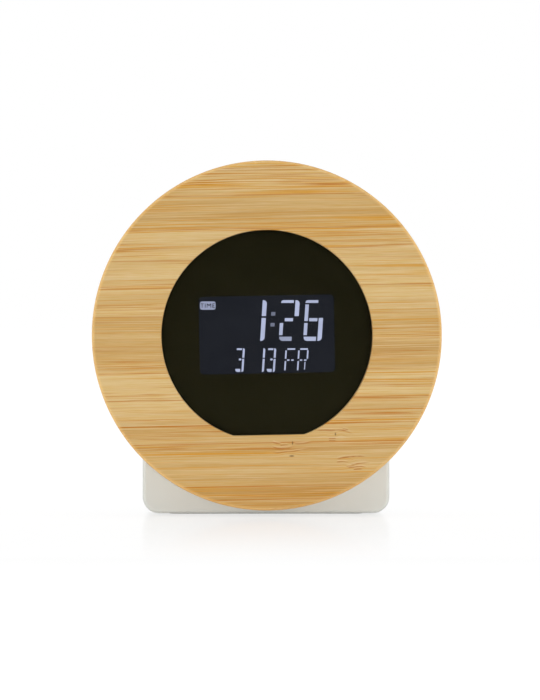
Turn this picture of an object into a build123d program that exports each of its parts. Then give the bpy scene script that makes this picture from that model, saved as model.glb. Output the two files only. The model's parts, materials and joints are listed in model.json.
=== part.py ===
"""Round bamboo desk clock: a display head that turns on an arched plastic base.

Millimetres, +Z up, the face looks along -Y, the origin is the middle of the foot pad on the table.
"""

import os
from math import cos, pi, radians, sin, sqrt

from build123d import *

# Overall sizes; angles are in degrees
FACE_DIAMETER = 100.0
FACE_CLEARANCE = 1.8
FACE_TURN = 1.1
TURN_LIMIT = 20.0
BASE_WIDTH = 71.4
BASE_DEPTH = 36.0

# Fits: the gap left on each side of a piece
SEAT_FIT = 0.15
RUNNING_FIT = 0.08
SLIDING_FIT = 0.25
SCREW_FIT = 0.05
END_PLAY = 0.05
OVERRUN = 1.0

# Bamboo face
FACE_RIM = 10.0
FACE_LIP = 3.5
FACE_EDGE_ROUND = 0.9
WINDOW_DIAMETER = 60.3
WINDOW_FLAT_DROP = 28.4
WINDOW_CORNER = 1.2
WINDOW_EDGE_ROUND = 0.3

# Lens, mask and display tray
LENS_RECESS = 0.8
LENS_THICKNESS = 1.5
MASK_THICKNESS = 0.15
VIEW_WIDTH = 38.7
VIEW_HEIGHT = 22.25
VIEW_CORNER = 1.2
VIEW_RISE = 0.3
SPIGOT_HEIGHT = 0.55
TRAY_LIP = 0.8
TRAY_FLANGE = 1.6
TRAY_WALL = 1.4
APERTURE_MARGIN = 1.0

# Liquid-crystal panel and backlight
GLASS_BORDER = 3.1
GLASS_THICKNESS = 1.1
GLASS_LEDGE = 3.0
POLARISER_THICKNESS = 0.2
POLARISER_MARGIN = 0.6
GUIDE_INSET = 0.5
GUIDE_THICKNESS = 2.0
REFLECTOR_THICKNESS = 0.2
LED_THICKNESS = 1.0
LED_WIDTH = 3.0
ZEBRA_WIDTH = 2.0
ZEBRA_INSET = 1.5

# Display board and what it carries
BOARD_THICKNESS = 1.2
BOARD_ROOM = 2.2
BOARD_GAP = 0.8
POST_DIAMETER = 4.5
CHIP_DIAMETER = 9.0
CHIP_HEIGHT = 1.1
CHIP_ROUND_SHARE = 0.8
CHIP_PLACE_SHARES = (-0.45, 0.30)
CRYSTAL_DIAMETER = 1.9
CRYSTAL_LENGTH = 6.0
CRYSTAL_PLACE_SHARES = (0.42, 0.38)
CONNECTOR_WIDTH = 8.0
CONNECTOR_HEIGHT = 4.6
CONNECTOR_DEPTH = 3.0

# Head back, hub and turning joint
PLATE_THICKNESS = 2.0
HUB_DIAMETER = 24.0
HUB_WALL = 3.6
FELT_THICKNESS = 0.8
FELT_WIDTH = 3.2
WASHER_THICKNESS = 0.8
RETAINER_THICKNESS = 2.0
STOP_PIN_DIAMETER = 3.0
STOP_PIN_GAP = 0.6
STOP_PIN_REACH = 0.5
FACE_SCREW_COUNT = 4
FACE_SCREW_ANGLE = 45.0
PRESS_POST_COUNT = 4
RETAINER_SCREW_COUNT = 3
RETAINER_SCREW_ANGLE = 30.0

# Base shell, foot pad and rear cover
BASE_CORNER = 4.7
BASE_EDGE_ROUND = 1.1
BASE_REAR_ROUND = 0.6
BASE_WALL = 2.2
BASE_FRONT_WALL = 2.5
COVER_THICKNESS = 2.2
COVER_LIP = 1.2
BOSS_DIAMETER = 5.2
BOSS_SINK = 0.6
UPPER_SCREW_ANGLE = 58.0
PAD_THICKNESS = 0.8
PAD_PROUD = 0.3
PAD_INSET = 3.0
PAD_CORNER = 3.0
HOOK_WIDTH = 7.0
HOOK_REACH = 4.0
HOOK_THICKNESS = 1.2
HOOK_NIB = 0.7
HOOK_SPREAD_SHARE = 0.5

# Battery bay
CELL_DIAMETER = 10.5
CELL_LENGTH = 44.5
CELL_NUB_DIAMETER = 3.8
CELL_NUB_HEIGHT = 1.0
CELL_EDGE_ROUND = 0.6
CELL_GAP = 1.0
CELL_PLAY = 0.3
BAY_WALL = 1.3
BAY_RAISE = 2.6
CONTACT_THICKNESS = 0.4
CONTACT_WIDTH = 8.0
TAG_WIDTH = 2.4
TAG_LENGTH = 2.0
SPRING_LENGTH = 4.6
SPRING_WIRE = 0.7
SPRING_BASE_DIAMETER = 7.0
SPRING_TIP_DIAMETER = 5.2
SPRING_TURNS = 3
LEAD_DIAMETER = 1.2
LEAD_FORWARD = 3.6
LEAD_RISE = 3.2
LEAD_BEND_SHARE = 0.45
LEAD_PLACE_SHARES = (-0.74, -0.60)

# Battery door
DOOR_THICKNESS = 2.0
DOOR_SEAT_GAP = 0.1
DOOR_CORNER = 2.0
DOOR_PIN_DIAMETER = 1.0
DOOR_PIN_LENGTH = 1.4
DOOR_PIN_FIT = 0.1
DOOR_RIB_COUNT = 3
DOOR_RIB_LENGTH = 14.0
DOOR_RIB_WIDTH = 0.9
DOOR_RIB_PITCH = 2.0
DOOR_RIB_PROUD = 0.4
DOOR_RIB_DROP = 2.6
SCOOP_DIAMETER = 12.0
SCOOP_DEPTH = 1.2

# Main board, keys, alarm switch and buzzer
MAIN_BOARD_GAP = 1.5
BUTTON_ROW_RISE = 7.5
SWITCH_ROW_RISE = 12.5
BUZZER_RISE = 14.0
BOARD_SHOULDER_RISE = 1.5
BUTTON_NAMES = ("mode", "set", "up", "down")
BUTTON_DIAMETER = 7.0
BUTTON_PITCH = 12.0
BUTTON_PROUD = 0.9
BUTTON_EDGE_ROUND = 0.5
BUTTON_FLANGE_DIAMETER = 9.0
BUTTON_FLANGE = 1.0
BUTTON_TRAVEL = 0.6
KEY_WIDTH = 6.0
KEY_HEIGHT = 3.4
PLUNGER_DIAMETER = 3.3
PLUNGER_PROUD = 1.3
PLUNGER_DEPTH = 1.4
KNOB_LENGTH = 4.6
KNOB_HEIGHT = 3.6
KNOB_RECESS = 1.2
KNOB_PROUD = 0.4
KNOB_STEM = 1.8
KNOB_TRAVEL = 2.6
KNOB_RIB_COUNT = 3
KNOB_RIB_WIDTH = 0.5
KNOB_RIB_PROUD = 0.35
SWITCH_LENGTH = 8.6
SWITCH_HEIGHT = 4.4
SWITCH_DEPTH = 3.6
SWITCH_SLOT_DEPTH = 1.5
BUZZER_DIAMETER = 12.0
BUZZER_DEPTH = 5.0
BUZZER_PORT_DIAMETER = 2.0
BUZZER_PORT_DEPTH = 1.5
BUZZER_MARGIN = 2.0
SOUND_HOLE_DIAMETER = 1.5
SOUND_HOLE_PITCH = 3.2
SOUND_HOLE_COUNT = 6
BUNDLE_DIAMETER = 4.0

# Screws
FACE_SCREW_SHANK = 2.5
FACE_SCREW_HEAD = 4.6
FACE_SCREW_HEAD_HEIGHT = 1.1
FACE_SCREW_LENGTH = 8.0
SMALL_SCREW_SHANK = 1.7
SMALL_SCREW_HEAD = 3.2
SMALL_SCREW_HEAD_HEIGHT = 1.1
SMALL_SCREW_LENGTH = 4.0
COVER_SCREW_SHANK = 2.2
COVER_SCREW_HEAD = 4.0
COVER_SCREW_HEAD_HEIGHT = 1.2
COVER_SCREW_LENGTH = 9.0
SCREW_RECESS_LENGTH_SHARE = 0.62
SCREW_RECESS_WIDTH_SHARE = 0.16
SCREW_RECESS_DEPTH_SHARE = 0.55

# Places along the depth, from the face back to the rear of the base
Y_BASE_FRONT = -BASE_DEPTH / 2
Y_REAR = BASE_DEPTH / 2
Y_FACE_BACK = Y_BASE_FRONT - FELT_THICKNESS
Y_PLATE = Y_FACE_BACK - PLATE_THICKNESS
Y_BOARD_BACK = Y_PLATE - BOARD_ROOM
Y_BOARD = Y_BOARD_BACK - BOARD_THICKNESS
Y_REFLECTOR = Y_BOARD - REFLECTOR_THICKNESS
Y_GUIDE = Y_REFLECTOR - GUIDE_THICKNESS
Y_REAR_FILM = Y_GUIDE - POLARISER_THICKNESS
Y_REAR_GLASS = Y_REAR_FILM - GLASS_THICKNESS
Y_GLASS = Y_REAR_GLASS - GLASS_THICKNESS
Y_TRAY = Y_GLASS - TRAY_LIP
Y_MASK = Y_TRAY - MASK_THICKNESS
Y_LENS = Y_MASK - LENS_THICKNESS
Y_FACE = Y_LENS - LENS_RECESS
Y_POCKET = Y_TRAY + SPIGOT_HEIGHT
Y_FLANGE_BACK = Y_POCKET + TRAY_FLANGE
Y_WALL = Y_BASE_FRONT + BASE_FRONT_WALL
Y_WASHER_BACK = Y_WALL + WASHER_THICKNESS
Y_HUB_END = Y_WASHER_BACK + END_PLAY
Y_RETAINER_BACK = Y_HUB_END + RETAINER_THICKNESS
Y_COVER = Y_REAR - COVER_THICKNESS
Y_KEY_BACK = Y_COVER - BUTTON_FLANGE - PLUNGER_PROUD
Y_MAIN_BACK = Y_KEY_BACK - KEY_HEIGHT
Y_MAIN = Y_MAIN_BACK - BOARD_THICKNESS
Y_DOOR = Y_REAR - DOOR_THICKNESS
Y_HINGE = Y_DOOR + DOOR_THICKNESS / 2
Y_BAY_BACK = Y_DOOR - DOOR_SEAT_GAP
Y_BAY_FLOOR = Y_BAY_BACK - CELL_DIAMETER - 2 * CELL_PLAY
Y_BAY = Y_BAY_FLOOR - BAY_WALL
Y_CELL = (Y_BAY_BACK + Y_BAY_FLOOR) / 2

# Head radii and outlines
AXIS_Z = FACE_CLEARANCE + FACE_DIAMETER / 2
FACE_RADIUS = FACE_DIAMETER / 2
POCKET_RADIUS = FACE_RADIUS - FACE_RIM
REBATE_RADIUS = FACE_RADIUS - FACE_LIP
FACE_SCREW_RING = (POCKET_RADIUS + REBATE_RADIUS) / 2
PRESS_POST_RING = POCKET_RADIUS - POST_DIAMETER
HUB_RADIUS = HUB_DIAMETER / 2
HUB_BORE_RADIUS = HUB_RADIUS - HUB_WALL
HUB_SCREW_RING = HUB_RADIUS - HUB_WALL / 2
FELT_RADIUS = HUB_RADIUS + SEAT_FIT + FELT_WIDTH
STOP_PIN_RADIUS = STOP_PIN_DIAMETER / 2
STOP_PIN_RING = FELT_RADIUS + STOP_PIN_GAP + STOP_PIN_RADIUS
GLASS_WIDTH = VIEW_WIDTH + 2 * GLASS_BORDER
GLASS_HEIGHT = VIEW_HEIGHT + 2 * GLASS_BORDER
GLASS_LOW = -GLASS_HEIGHT / 2 - GLASS_LEDGE
GLASS_MIDDLE = -GLASS_LEDGE / 2
NEST_WIDTH = GLASS_WIDTH + 2 * SEAT_FIT
NEST_HEIGHT = GLASS_HEIGHT + GLASS_LEDGE + 2 * SEAT_FIT
POST_RADIUS = POST_DIAMETER / 2
BOARD_SCREW_X = GLASS_WIDTH / 2 - POST_RADIUS
BOARD_SCREW_TOP = GLASS_MIDDLE + NEST_HEIGHT / 2 + TRAY_WALL / 2 + POST_RADIUS
BOARD_SCREW_LOW = GLASS_MIDDLE - NEST_HEIGHT / 2 - TRAY_WALL / 2 - POST_RADIUS
BOARD_HALF = BOARD_SCREW_X + POST_RADIUS
BOARD_HEIGHT = BOARD_SCREW_TOP - BOARD_SCREW_LOW + POST_DIAMETER
BOARD_MIDDLE = (BOARD_SCREW_TOP + BOARD_SCREW_LOW) / 2

# Base heights and half widths
SHELL_HALF = BASE_WIDTH / 2 - BASE_WALL
FLOOR_Z = PAD_PROUD + BASE_WALL
BOSS_RADIUS = BOSS_DIAMETER / 2
CELL_RADIUS = CELL_DIAMETER / 2
BAY_HALF = (CELL_LENGTH + SPRING_LENGTH) / 2 + CONTACT_THICKNESS
BAY_HEIGHT = 2 * CELL_DIAMETER + CELL_GAP + 2 * CELL_PLAY
BAY_Z = FLOOR_Z + BAY_RAISE + BAY_WALL + BAY_HEIGHT / 2
CELL_RISE = (CELL_DIAMETER + CELL_GAP) / 2
BAY_OUTER_HALF = BAY_HALF + BAY_WALL
BAY_OUTER_HEIGHT = BAY_HEIGHT + 2 * BAY_WALL
BAY_TOP = BAY_Z + BAY_OUTER_HEIGHT / 2
BAY_BOTTOM = BAY_Z - BAY_OUTER_HEIGHT / 2
HINGE_Z = BAY_BOTTOM + SLIDING_FIT + DOOR_THICKNESS / 2
LOWER_SCREW_X = SHELL_HALF - BOSS_RADIUS + BOSS_SINK
LOWER_SCREW_Z = BAY_TOP + BOSS_RADIUS + BOARD_GAP
UPPER_SCREW_RING = SHELL_HALF - BOSS_RADIUS + BOSS_SINK
MAIN_HALF = LOWER_SCREW_X - BOSS_RADIUS - BOARD_GAP
MAIN_LOW = BAY_TOP + MAIN_BOARD_GAP
BUTTON_Z = MAIN_LOW + BUTTON_ROW_RISE
SWITCH_Z = BUTTON_Z + SWITCH_ROW_RISE
BUZZER_Z = SWITCH_Z + BUZZER_RISE
MAIN_SHOULDER = SWITCH_Z + BOARD_SHOULDER_RISE
MAIN_TOP = BUZZER_Z + BUZZER_DIAMETER / 2 + BUZZER_MARGIN
MAIN_NECK = BUZZER_DIAMETER + 2 * BUZZER_MARGIN
MAIN_SCREW_X = MAIN_HALF - POST_RADIUS
LEAD_Z = MAIN_LOW + LEAD_RISE


# Shared shapes
def slab(outline, y_front, depth):
    """Solid of an outline drawn in x and z, from y_front back by depth."""
    plane = Plane(origin=(0, y_front + depth, 0), x_dir=(1, 0, 0), z_dir=(0, -1, 0))
    return extrude(plane * outline, amount=depth)


def rod(x, z, radius, y_front, depth):
    """Round solid along y."""
    return slab(Pos(x, z) * Circle(radius), y_front, depth)


def screw_hole(x, z, shank, y_front, depth):
    """Hole along y that takes a screw's shank."""
    return rod(x, z, shank / 2 + SCREW_FIT, y_front, depth)


def block(x_span, y_span, z_span):
    """Box between the two ends of each span."""
    sizes = [high - low for low, high in (x_span, y_span, z_span)]
    middles = [(high + low) / 2 for low, high in (x_span, y_span, z_span)]
    return Pos(*middles) * Box(*sizes)


def ring_places(count, radius, start):
    """Places at equal angles on a ring, as x and z."""
    angles = [radians(start + 360 * k / count) for k in range(count)]
    return [(radius * cos(a), radius * sin(a)) for a in angles]


def on_axis(piece):
    """Move a head piece from the origin to the turned face's axis."""
    return Pos(0, 0, AXIS_Z) * Rot(0, -FACE_TURN, 0) * piece


def window_outline(inset):
    """Circle with a flat at the bottom, drawn inset from the face's window."""
    radius = WINDOW_DIAMETER / 2 - inset
    drop = WINDOW_FLAT_DROP - inset
    outline = Circle(radius) - Pos(0, -drop - radius) * Rectangle(2 * radius, 2 * radius)
    return fillet(outline.vertices().sort_by(Axis.Y)[:2], WINDOW_CORNER)


def arch_outline(inset):
    """Base outline: round top on the face's axis, straight sides, rounded lower corners."""
    half = BASE_WIDTH / 2 - inset
    foot = PAD_PROUD + inset
    legs = Pos(0, (AXIS_Z + foot) / 2) * Rectangle(2 * half, AXIS_Z - foot)
    outline = Pos(0, AXIS_Z) * Circle(half) + legs
    return fillet(outline.vertices().sort_by(Axis.Y)[:2], BASE_CORNER - inset)


def screw(shank, head, head_height, length):
    """Cross-recess screw with its head's seat at the origin, pointing to the front."""
    body = rod(0, 0, shank / 2, -length, length) + rod(0, 0, head / 2, 0, head_height)
    arm = Rectangle(head * SCREW_RECESS_LENGTH_SHARE, head * SCREW_RECESS_WIDTH_SHARE)
    depth = head_height * SCREW_RECESS_DEPTH_SHARE
    return body - slab(arm + Rot(0, 0, 90) * arm, head_height - depth, depth)


def face_screw():
    return screw(FACE_SCREW_SHANK, FACE_SCREW_HEAD, FACE_SCREW_HEAD_HEIGHT, FACE_SCREW_LENGTH)


def small_screw():
    return screw(SMALL_SCREW_SHANK, SMALL_SCREW_HEAD, SMALL_SCREW_HEAD_HEIGHT, SMALL_SCREW_LENGTH)


def cover_screw():
    return screw(COVER_SCREW_SHANK, COVER_SCREW_HEAD, COVER_SCREW_HEAD_HEIGHT, COVER_SCREW_LENGTH)


def group(pieces):
    """Separate solids kept together under one name."""
    return Compound([solid for piece in pieces for solid in piece.solids()])


# Places of the screws
def face_screw_places():
    return ring_places(FACE_SCREW_COUNT, FACE_SCREW_RING, FACE_SCREW_ANGLE)


def press_post_places():
    return ring_places(PRESS_POST_COUNT, PRESS_POST_RING, 0)


def hub_screw_places():
    return ring_places(RETAINER_SCREW_COUNT, HUB_SCREW_RING, RETAINER_SCREW_ANGLE)


def board_screw_places():
    heights = (BOARD_SCREW_LOW, BOARD_SCREW_TOP)
    return [(side * BOARD_SCREW_X, z) for side in (-1, 1) for z in heights]


def cover_screw_places():
    upper = [(side * UPPER_SCREW_RING * cos(radians(UPPER_SCREW_ANGLE)),
              AXIS_Z + UPPER_SCREW_RING * sin(radians(UPPER_SCREW_ANGLE))) for side in (-1, 1)]
    return upper + [(side * LOWER_SCREW_X, LOWER_SCREW_Z) for side in (-1, 1)]


def main_screw_places():
    heights = (MAIN_LOW + POST_RADIUS, MAIN_SHOULDER - POST_RADIUS)
    return [(side * MAIN_SCREW_X, z) for side in (-1, 1) for z in heights]


def button_places():
    middle = (len(BUTTON_NAMES) - 1) / 2
    return [(BUTTON_PITCH * (middle - k), BUTTON_Z) for k in range(len(BUTTON_NAMES))]


# Head: bamboo face, lens and mask
def bamboo_face():
    face = slab(Circle(FACE_RADIUS) - window_outline(0), Y_FACE, Y_FACE_BACK - Y_FACE)
    window_rim = face.edges().group_by(Axis.Y)[0].filter_by(lambda edge: not edge.is_closed)
    face = fillet(window_rim, WINDOW_EDGE_ROUND)
    face = fillet(face.edges().filter_by(lambda edge: edge.is_closed), FACE_EDGE_ROUND)
    face -= slab(Circle(POCKET_RADIUS), Y_POCKET, Y_FACE_BACK - Y_POCKET + OVERRUN)
    face -= slab(Circle(REBATE_RADIUS), Y_PLATE, PLATE_THICKNESS + OVERRUN)
    bite = FACE_SCREW_LENGTH - (PLATE_THICKNESS - FACE_SCREW_HEAD_HEIGHT) + SLIDING_FIT
    for x, z in face_screw_places():
        face -= screw_hole(x, z, FACE_SCREW_SHANK, Y_PLATE - bite, bite)
    return face


def display_lens():
    return slab(window_outline(SEAT_FIT), Y_LENS, LENS_THICKNESS)


def window_mask():
    window = Pos(0, VIEW_RISE) * RectangleRounded(VIEW_WIDTH, VIEW_HEIGHT, VIEW_CORNER)
    return slab(window_outline(SEAT_FIT) - window, Y_MASK, MASK_THICKNESS)


# Head: tray, panel and backlight
def display_tray():
    nest = Pos(0, GLASS_MIDDLE) * Rectangle(NEST_WIDTH, NEST_HEIGHT)
    frame = Pos(0, GLASS_MIDDLE) * Rectangle(NEST_WIDTH + 2 * TRAY_WALL, NEST_HEIGHT + 2 * TRAY_WALL)
    aperture = Rectangle(VIEW_WIDTH + 2 * APERTURE_MARGIN, VIEW_HEIGHT + 2 * APERTURE_MARGIN)
    tray = slab(window_outline(SEAT_FIT), Y_TRAY, SPIGOT_HEIGHT)
    tray += slab(Circle(POCKET_RADIUS - SEAT_FIT), Y_POCKET, TRAY_FLANGE)
    tray += slab(frame, Y_POCKET, Y_BOARD - Y_POCKET)
    for x, z in board_screw_places():
        tray += rod(x, z, POST_RADIUS, Y_POCKET, Y_BOARD - Y_POCKET)
    tray -= slab(aperture, Y_TRAY - OVERRUN, TRAY_LIP + 2 * OVERRUN)
    tray -= slab(nest, Y_GLASS, Y_BOARD - Y_GLASS + OVERRUN)
    bite = SMALL_SCREW_LENGTH - BOARD_THICKNESS + SLIDING_FIT
    for x, z in board_screw_places():
        tray -= screw_hole(x, z, SMALL_SCREW_SHANK, Y_BOARD - bite, bite + OVERRUN)
    return tray


def lcd_glass():
    front = Pos(0, GLASS_MIDDLE) * Rectangle(GLASS_WIDTH, GLASS_HEIGHT + GLASS_LEDGE)
    rear = slab(Rectangle(GLASS_WIDTH, GLASS_HEIGHT), Y_REAR_GLASS, GLASS_THICKNESS)
    return slab(front, Y_GLASS, GLASS_THICKNESS) + rear


def polariser_films():
    film = Rectangle(VIEW_WIDTH + 2 * POLARISER_MARGIN, VIEW_HEIGHT + 2 * POLARISER_MARGIN)
    front = slab(film, Y_GLASS - POLARISER_THICKNESS, POLARISER_THICKNESS)
    return group([front, slab(film, Y_REAR_FILM, POLARISER_THICKNESS)])


def guide_outline():
    width = GLASS_WIDTH - LED_THICKNESS - 2 * GUIDE_INSET
    return Pos(-LED_THICKNESS / 2, 0) * Rectangle(width, GLASS_HEIGHT - 2 * GUIDE_INSET)


def light_guide():
    return slab(guide_outline(), Y_GUIDE, GUIDE_THICKNESS)


def reflector_sheet():
    return slab(guide_outline(), Y_REFLECTOR, REFLECTOR_THICKNESS)


def backlight_led():
    place = GLASS_WIDTH / 2 - GUIDE_INSET - LED_THICKNESS / 2
    return slab(Pos(place, 0) * Rectangle(LED_THICKNESS, LED_WIDTH), Y_GUIDE, Y_BOARD - Y_GUIDE)


def zebra_strip():
    strip = Rectangle(GLASS_WIDTH - 2 * ZEBRA_INSET, ZEBRA_WIDTH)
    return slab(Pos(0, GLASS_LOW + GLASS_LEDGE / 2) * strip, Y_REAR_GLASS, Y_BOARD - Y_REAR_GLASS)


# Head: board and what it carries
def display_board():
    outline = RectangleRounded(2 * BOARD_HALF, BOARD_HEIGHT, POST_RADIUS)
    board = slab(Pos(0, BOARD_MIDDLE) * outline, Y_BOARD, BOARD_THICKNESS)
    for x, z in board_screw_places():
        board -= screw_hole(x, z, SMALL_SCREW_SHANK, Y_BOARD - OVERRUN, BOARD_THICKNESS + 2 * OVERRUN)
    return board


def board_screws():
    return group([Pos(x, Y_BOARD_BACK, z) * small_screw() for x, z in board_screw_places()])


def board_place(shares):
    """Place on the display board, as shares of its half width and half height."""
    return shares[0] * BOARD_HALF, shares[1] * BOARD_HEIGHT / 2


def clock_chip():
    x, z = board_place(CHIP_PLACE_SHARES)
    chip = rod(x, z, CHIP_DIAMETER / 2, Y_BOARD_BACK, CHIP_HEIGHT)
    return fillet(chip.edges().group_by(Axis.Y)[-1], CHIP_HEIGHT * CHIP_ROUND_SHARE)


def quartz_crystal():
    x, z = board_place(CRYSTAL_PLACE_SHARES)
    can = Rot(0, 90, 0) * Cylinder(CRYSTAL_DIAMETER / 2, CRYSTAL_LENGTH)
    return Pos(x, Y_BOARD_BACK + CRYSTAL_DIAMETER / 2, z) * can


def display_connector():
    return slab(Rectangle(CONNECTOR_WIDTH, CONNECTOR_HEIGHT), Y_BOARD_BACK, CONNECTOR_DEPTH)


# Head: back plate with its hub, and the parts of the turning joint
def head_back():
    back = slab(Circle(REBATE_RADIUS - SEAT_FIT), Y_PLATE, PLATE_THICKNESS)
    back += slab(Circle(HUB_RADIUS), Y_FACE_BACK, Y_HUB_END - Y_FACE_BACK)
    back += rod(0, STOP_PIN_RING, STOP_PIN_RADIUS, Y_FACE_BACK, Y_WALL + STOP_PIN_REACH - Y_FACE_BACK)
    for x, z in press_post_places():
        back += rod(x, z, POST_RADIUS, Y_FLANGE_BACK, Y_PLATE - Y_FLANGE_BACK)
    back -= slab(Circle(HUB_BORE_RADIUS), Y_PLATE - OVERRUN, Y_HUB_END - Y_PLATE + 2 * OVERRUN)
    for x, z in face_screw_places():
        back -= screw_hole(x, z, FACE_SCREW_SHANK, Y_PLATE - OVERRUN, PLATE_THICKNESS + 2 * OVERRUN)
        seat = Y_FACE_BACK - FACE_SCREW_HEAD_HEIGHT
        back -= rod(x, z, FACE_SCREW_HEAD / 2 + SEAT_FIT, seat, FACE_SCREW_HEAD_HEIGHT + OVERRUN)
    bite = SMALL_SCREW_LENGTH - RETAINER_THICKNESS + SLIDING_FIT
    for x, z in hub_screw_places():
        back -= screw_hole(x, z, SMALL_SCREW_SHANK, Y_HUB_END - bite, bite + OVERRUN)
    return back


def face_screws():
    seat = Y_FACE_BACK - FACE_SCREW_HEAD_HEIGHT
    return group([Pos(x, seat, z) * face_screw() for x, z in face_screw_places()])


def hub_retainer():
    ring = slab(Circle(FELT_RADIUS) - Circle(HUB_BORE_RADIUS), Y_HUB_END, RETAINER_THICKNESS)
    for x, z in hub_screw_places():
        ring -= screw_hole(x, z, SMALL_SCREW_SHANK, Y_HUB_END - OVERRUN, RETAINER_THICKNESS + 2 * OVERRUN)
    return ring


def retainer_screws():
    return group([Pos(x, Y_RETAINER_BACK, z) * small_screw() for x, z in hub_screw_places()])


def friction_ring():
    return slab(Circle(FELT_RADIUS) - Circle(HUB_RADIUS + SEAT_FIT), Y_FACE_BACK, FELT_THICKNESS)


def thrust_washer():
    return slab(Circle(FELT_RADIUS) - Circle(HUB_RADIUS + SEAT_FIT), Y_WALL, WASHER_THICKNESS)


# Base: shell, foot pad and rear cover
def pad_outline(grow):
    width = BASE_WIDTH - 2 * (BASE_CORNER + PAD_INSET - grow)
    return RectangleRounded(width, BASE_DEPTH - 2 * (PAD_INSET - grow), PAD_CORNER)


def anti_slip_pad():
    return extrude(pad_outline(0), amount=PAD_THICKNESS)


def hook_x():
    return BAY_HALF * HOOK_SPREAD_SHARE


def base_shell():
    shell = slab(arch_outline(0), Y_BASE_FRONT, BASE_DEPTH)
    shell = fillet(shell.edges().group_by(Axis.Y)[0], BASE_EDGE_ROUND)
    shell = fillet(shell.edges().group_by(Axis.Y)[-1], BASE_REAR_ROUND)
    shell -= slab(arch_outline(BASE_WALL), Y_WALL, BASE_DEPTH)
    shell -= slab(arch_outline(COVER_LIP), Y_COVER, COVER_THICKNESS + OVERRUN)
    for x, z in cover_screw_places():
        shell += rod(x, z, BOSS_RADIUS, Y_WALL, Y_COVER - Y_WALL)
    bite = COVER_SCREW_LENGTH - (COVER_THICKNESS - COVER_SCREW_HEAD_HEIGHT) + SLIDING_FIT
    for x, z in cover_screw_places():
        shell -= screw_hole(x, z, COVER_SCREW_SHANK, Y_COVER - bite, bite + OVERRUN)
    track = CenterArc((0, 0), STOP_PIN_RING, 90 - TURN_LIMIT, 2 * TURN_LIMIT)
    joint = Circle(HUB_RADIUS + RUNNING_FIT) + SlotArc(track, STOP_PIN_DIAMETER + 2 * SLIDING_FIT)
    shell -= slab(Pos(0, AXIS_Z) * joint, Y_BASE_FRONT - OVERRUN, BASE_FRONT_WALL + 2 * OVERRUN)
    shell -= extrude(pad_outline(SEAT_FIT), amount=PAD_THICKNESS)
    front = Y_COVER - HOOK_REACH
    for side in (-1, 1):
        half = HOOK_WIDTH / 2 + SLIDING_FIT
        shell -= block((side * hook_x() - half, side * hook_x() + half),
                       (front - SLIDING_FIT, front + HOOK_THICKNESS + SLIDING_FIT),
                       (FLOOR_Z - HOOK_NIB - SEAT_FIT, FLOOR_Z + OVERRUN))
    return shell


def cover_hook(side):
    """Arm and nib that hold the cover's lower edge to the shell's floor."""
    x_span = (side * hook_x() - HOOK_WIDTH / 2, side * hook_x() + HOOK_WIDTH / 2)
    front = Y_COVER - HOOK_REACH
    low = FLOOR_Z + SEAT_FIT
    arm = block(x_span, (front, Y_COVER), (low, low + HOOK_THICKNESS))
    return arm + block(x_span, (front, front + HOOK_THICKNESS), (FLOOR_Z - HOOK_NIB, low + HOOK_THICKNESS))


def bay_outline(grow):
    return Pos(0, BAY_Z) * Rectangle(2 * (BAY_HALF + grow), BAY_HEIGHT + 2 * grow)


def sound_hole_places():
    return [(0, 0)] + ring_places(SOUND_HOLE_COUNT, SOUND_HOLE_PITCH, 0)


def rear_cover():
    cover = slab(arch_outline(COVER_LIP + SEAT_FIT), Y_COVER, COVER_THICKNESS)
    cover += slab(bay_outline(BAY_WALL), Y_BAY, Y_COVER - Y_BAY)
    for x, z in main_screw_places():
        cover += rod(x, z, POST_RADIUS, Y_MAIN_BACK, Y_COVER - Y_MAIN_BACK)
    for side in (-1, 1):
        cover += cover_hook(side)
    cover -= slab(bay_outline(0), Y_BAY_FLOOR, Y_REAR - Y_BAY_FLOOR + OVERRUN)
    cover = cut_door_seat(cover)
    cover = cut_controls(cover)
    for x, z in cover_screw_places():
        cover -= screw_hole(x, z, COVER_SCREW_SHANK, Y_COVER - OVERRUN, COVER_THICKNESS + 2 * OVERRUN)
        seat = Y_REAR - COVER_SCREW_HEAD_HEIGHT
        cover -= rod(x, z, COVER_SCREW_HEAD / 2 + SEAT_FIT, seat, COVER_SCREW_HEAD_HEIGHT + OVERRUN)
    bite = SMALL_SCREW_LENGTH - BOARD_THICKNESS + SLIDING_FIT
    for x, z in main_screw_places():
        cover -= screw_hole(x, z, SMALL_SCREW_SHANK, Y_MAIN_BACK - OVERRUN, bite + OVERRUN)
    for x, z in contact_tag_places():
        slot = Pos(x, z) * Rectangle(CONTACT_THICKNESS + 2 * SCREW_FIT, TAG_WIDTH + 2 * SCREW_FIT)
        cover -= slab(slot, Y_BAY - OVERRUN, BAY_WALL + 2 * OVERRUN)
    return cover


def door_outline(inset):
    """Battery door's outline drawn inset from its seat, square at the hinge and rounded above."""
    width = 2 * (BAY_OUTER_HALF - inset)
    height = BAY_OUTER_HEIGHT - 2 * inset
    square = Pos(0, BAY_Z - height / 4) * Rectangle(width, height / 2)
    return Pos(0, BAY_Z) * RectangleRounded(width, height, DOOR_CORNER) + square


def door_pin(side, clearance):
    """Hinge pin on one side of the battery door, or its socket with the clearance added."""
    length = DOOR_THICKNESS + DOOR_PIN_LENGTH + clearance
    middle = BAY_OUTER_HALF - DOOR_THICKNESS + length / 2
    pin = Cylinder(DOOR_PIN_DIAMETER / 2 + clearance, length)
    return Pos(side * middle, Y_HINGE, HINGE_Z) * Rot(0, 90, 0) * pin


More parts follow.
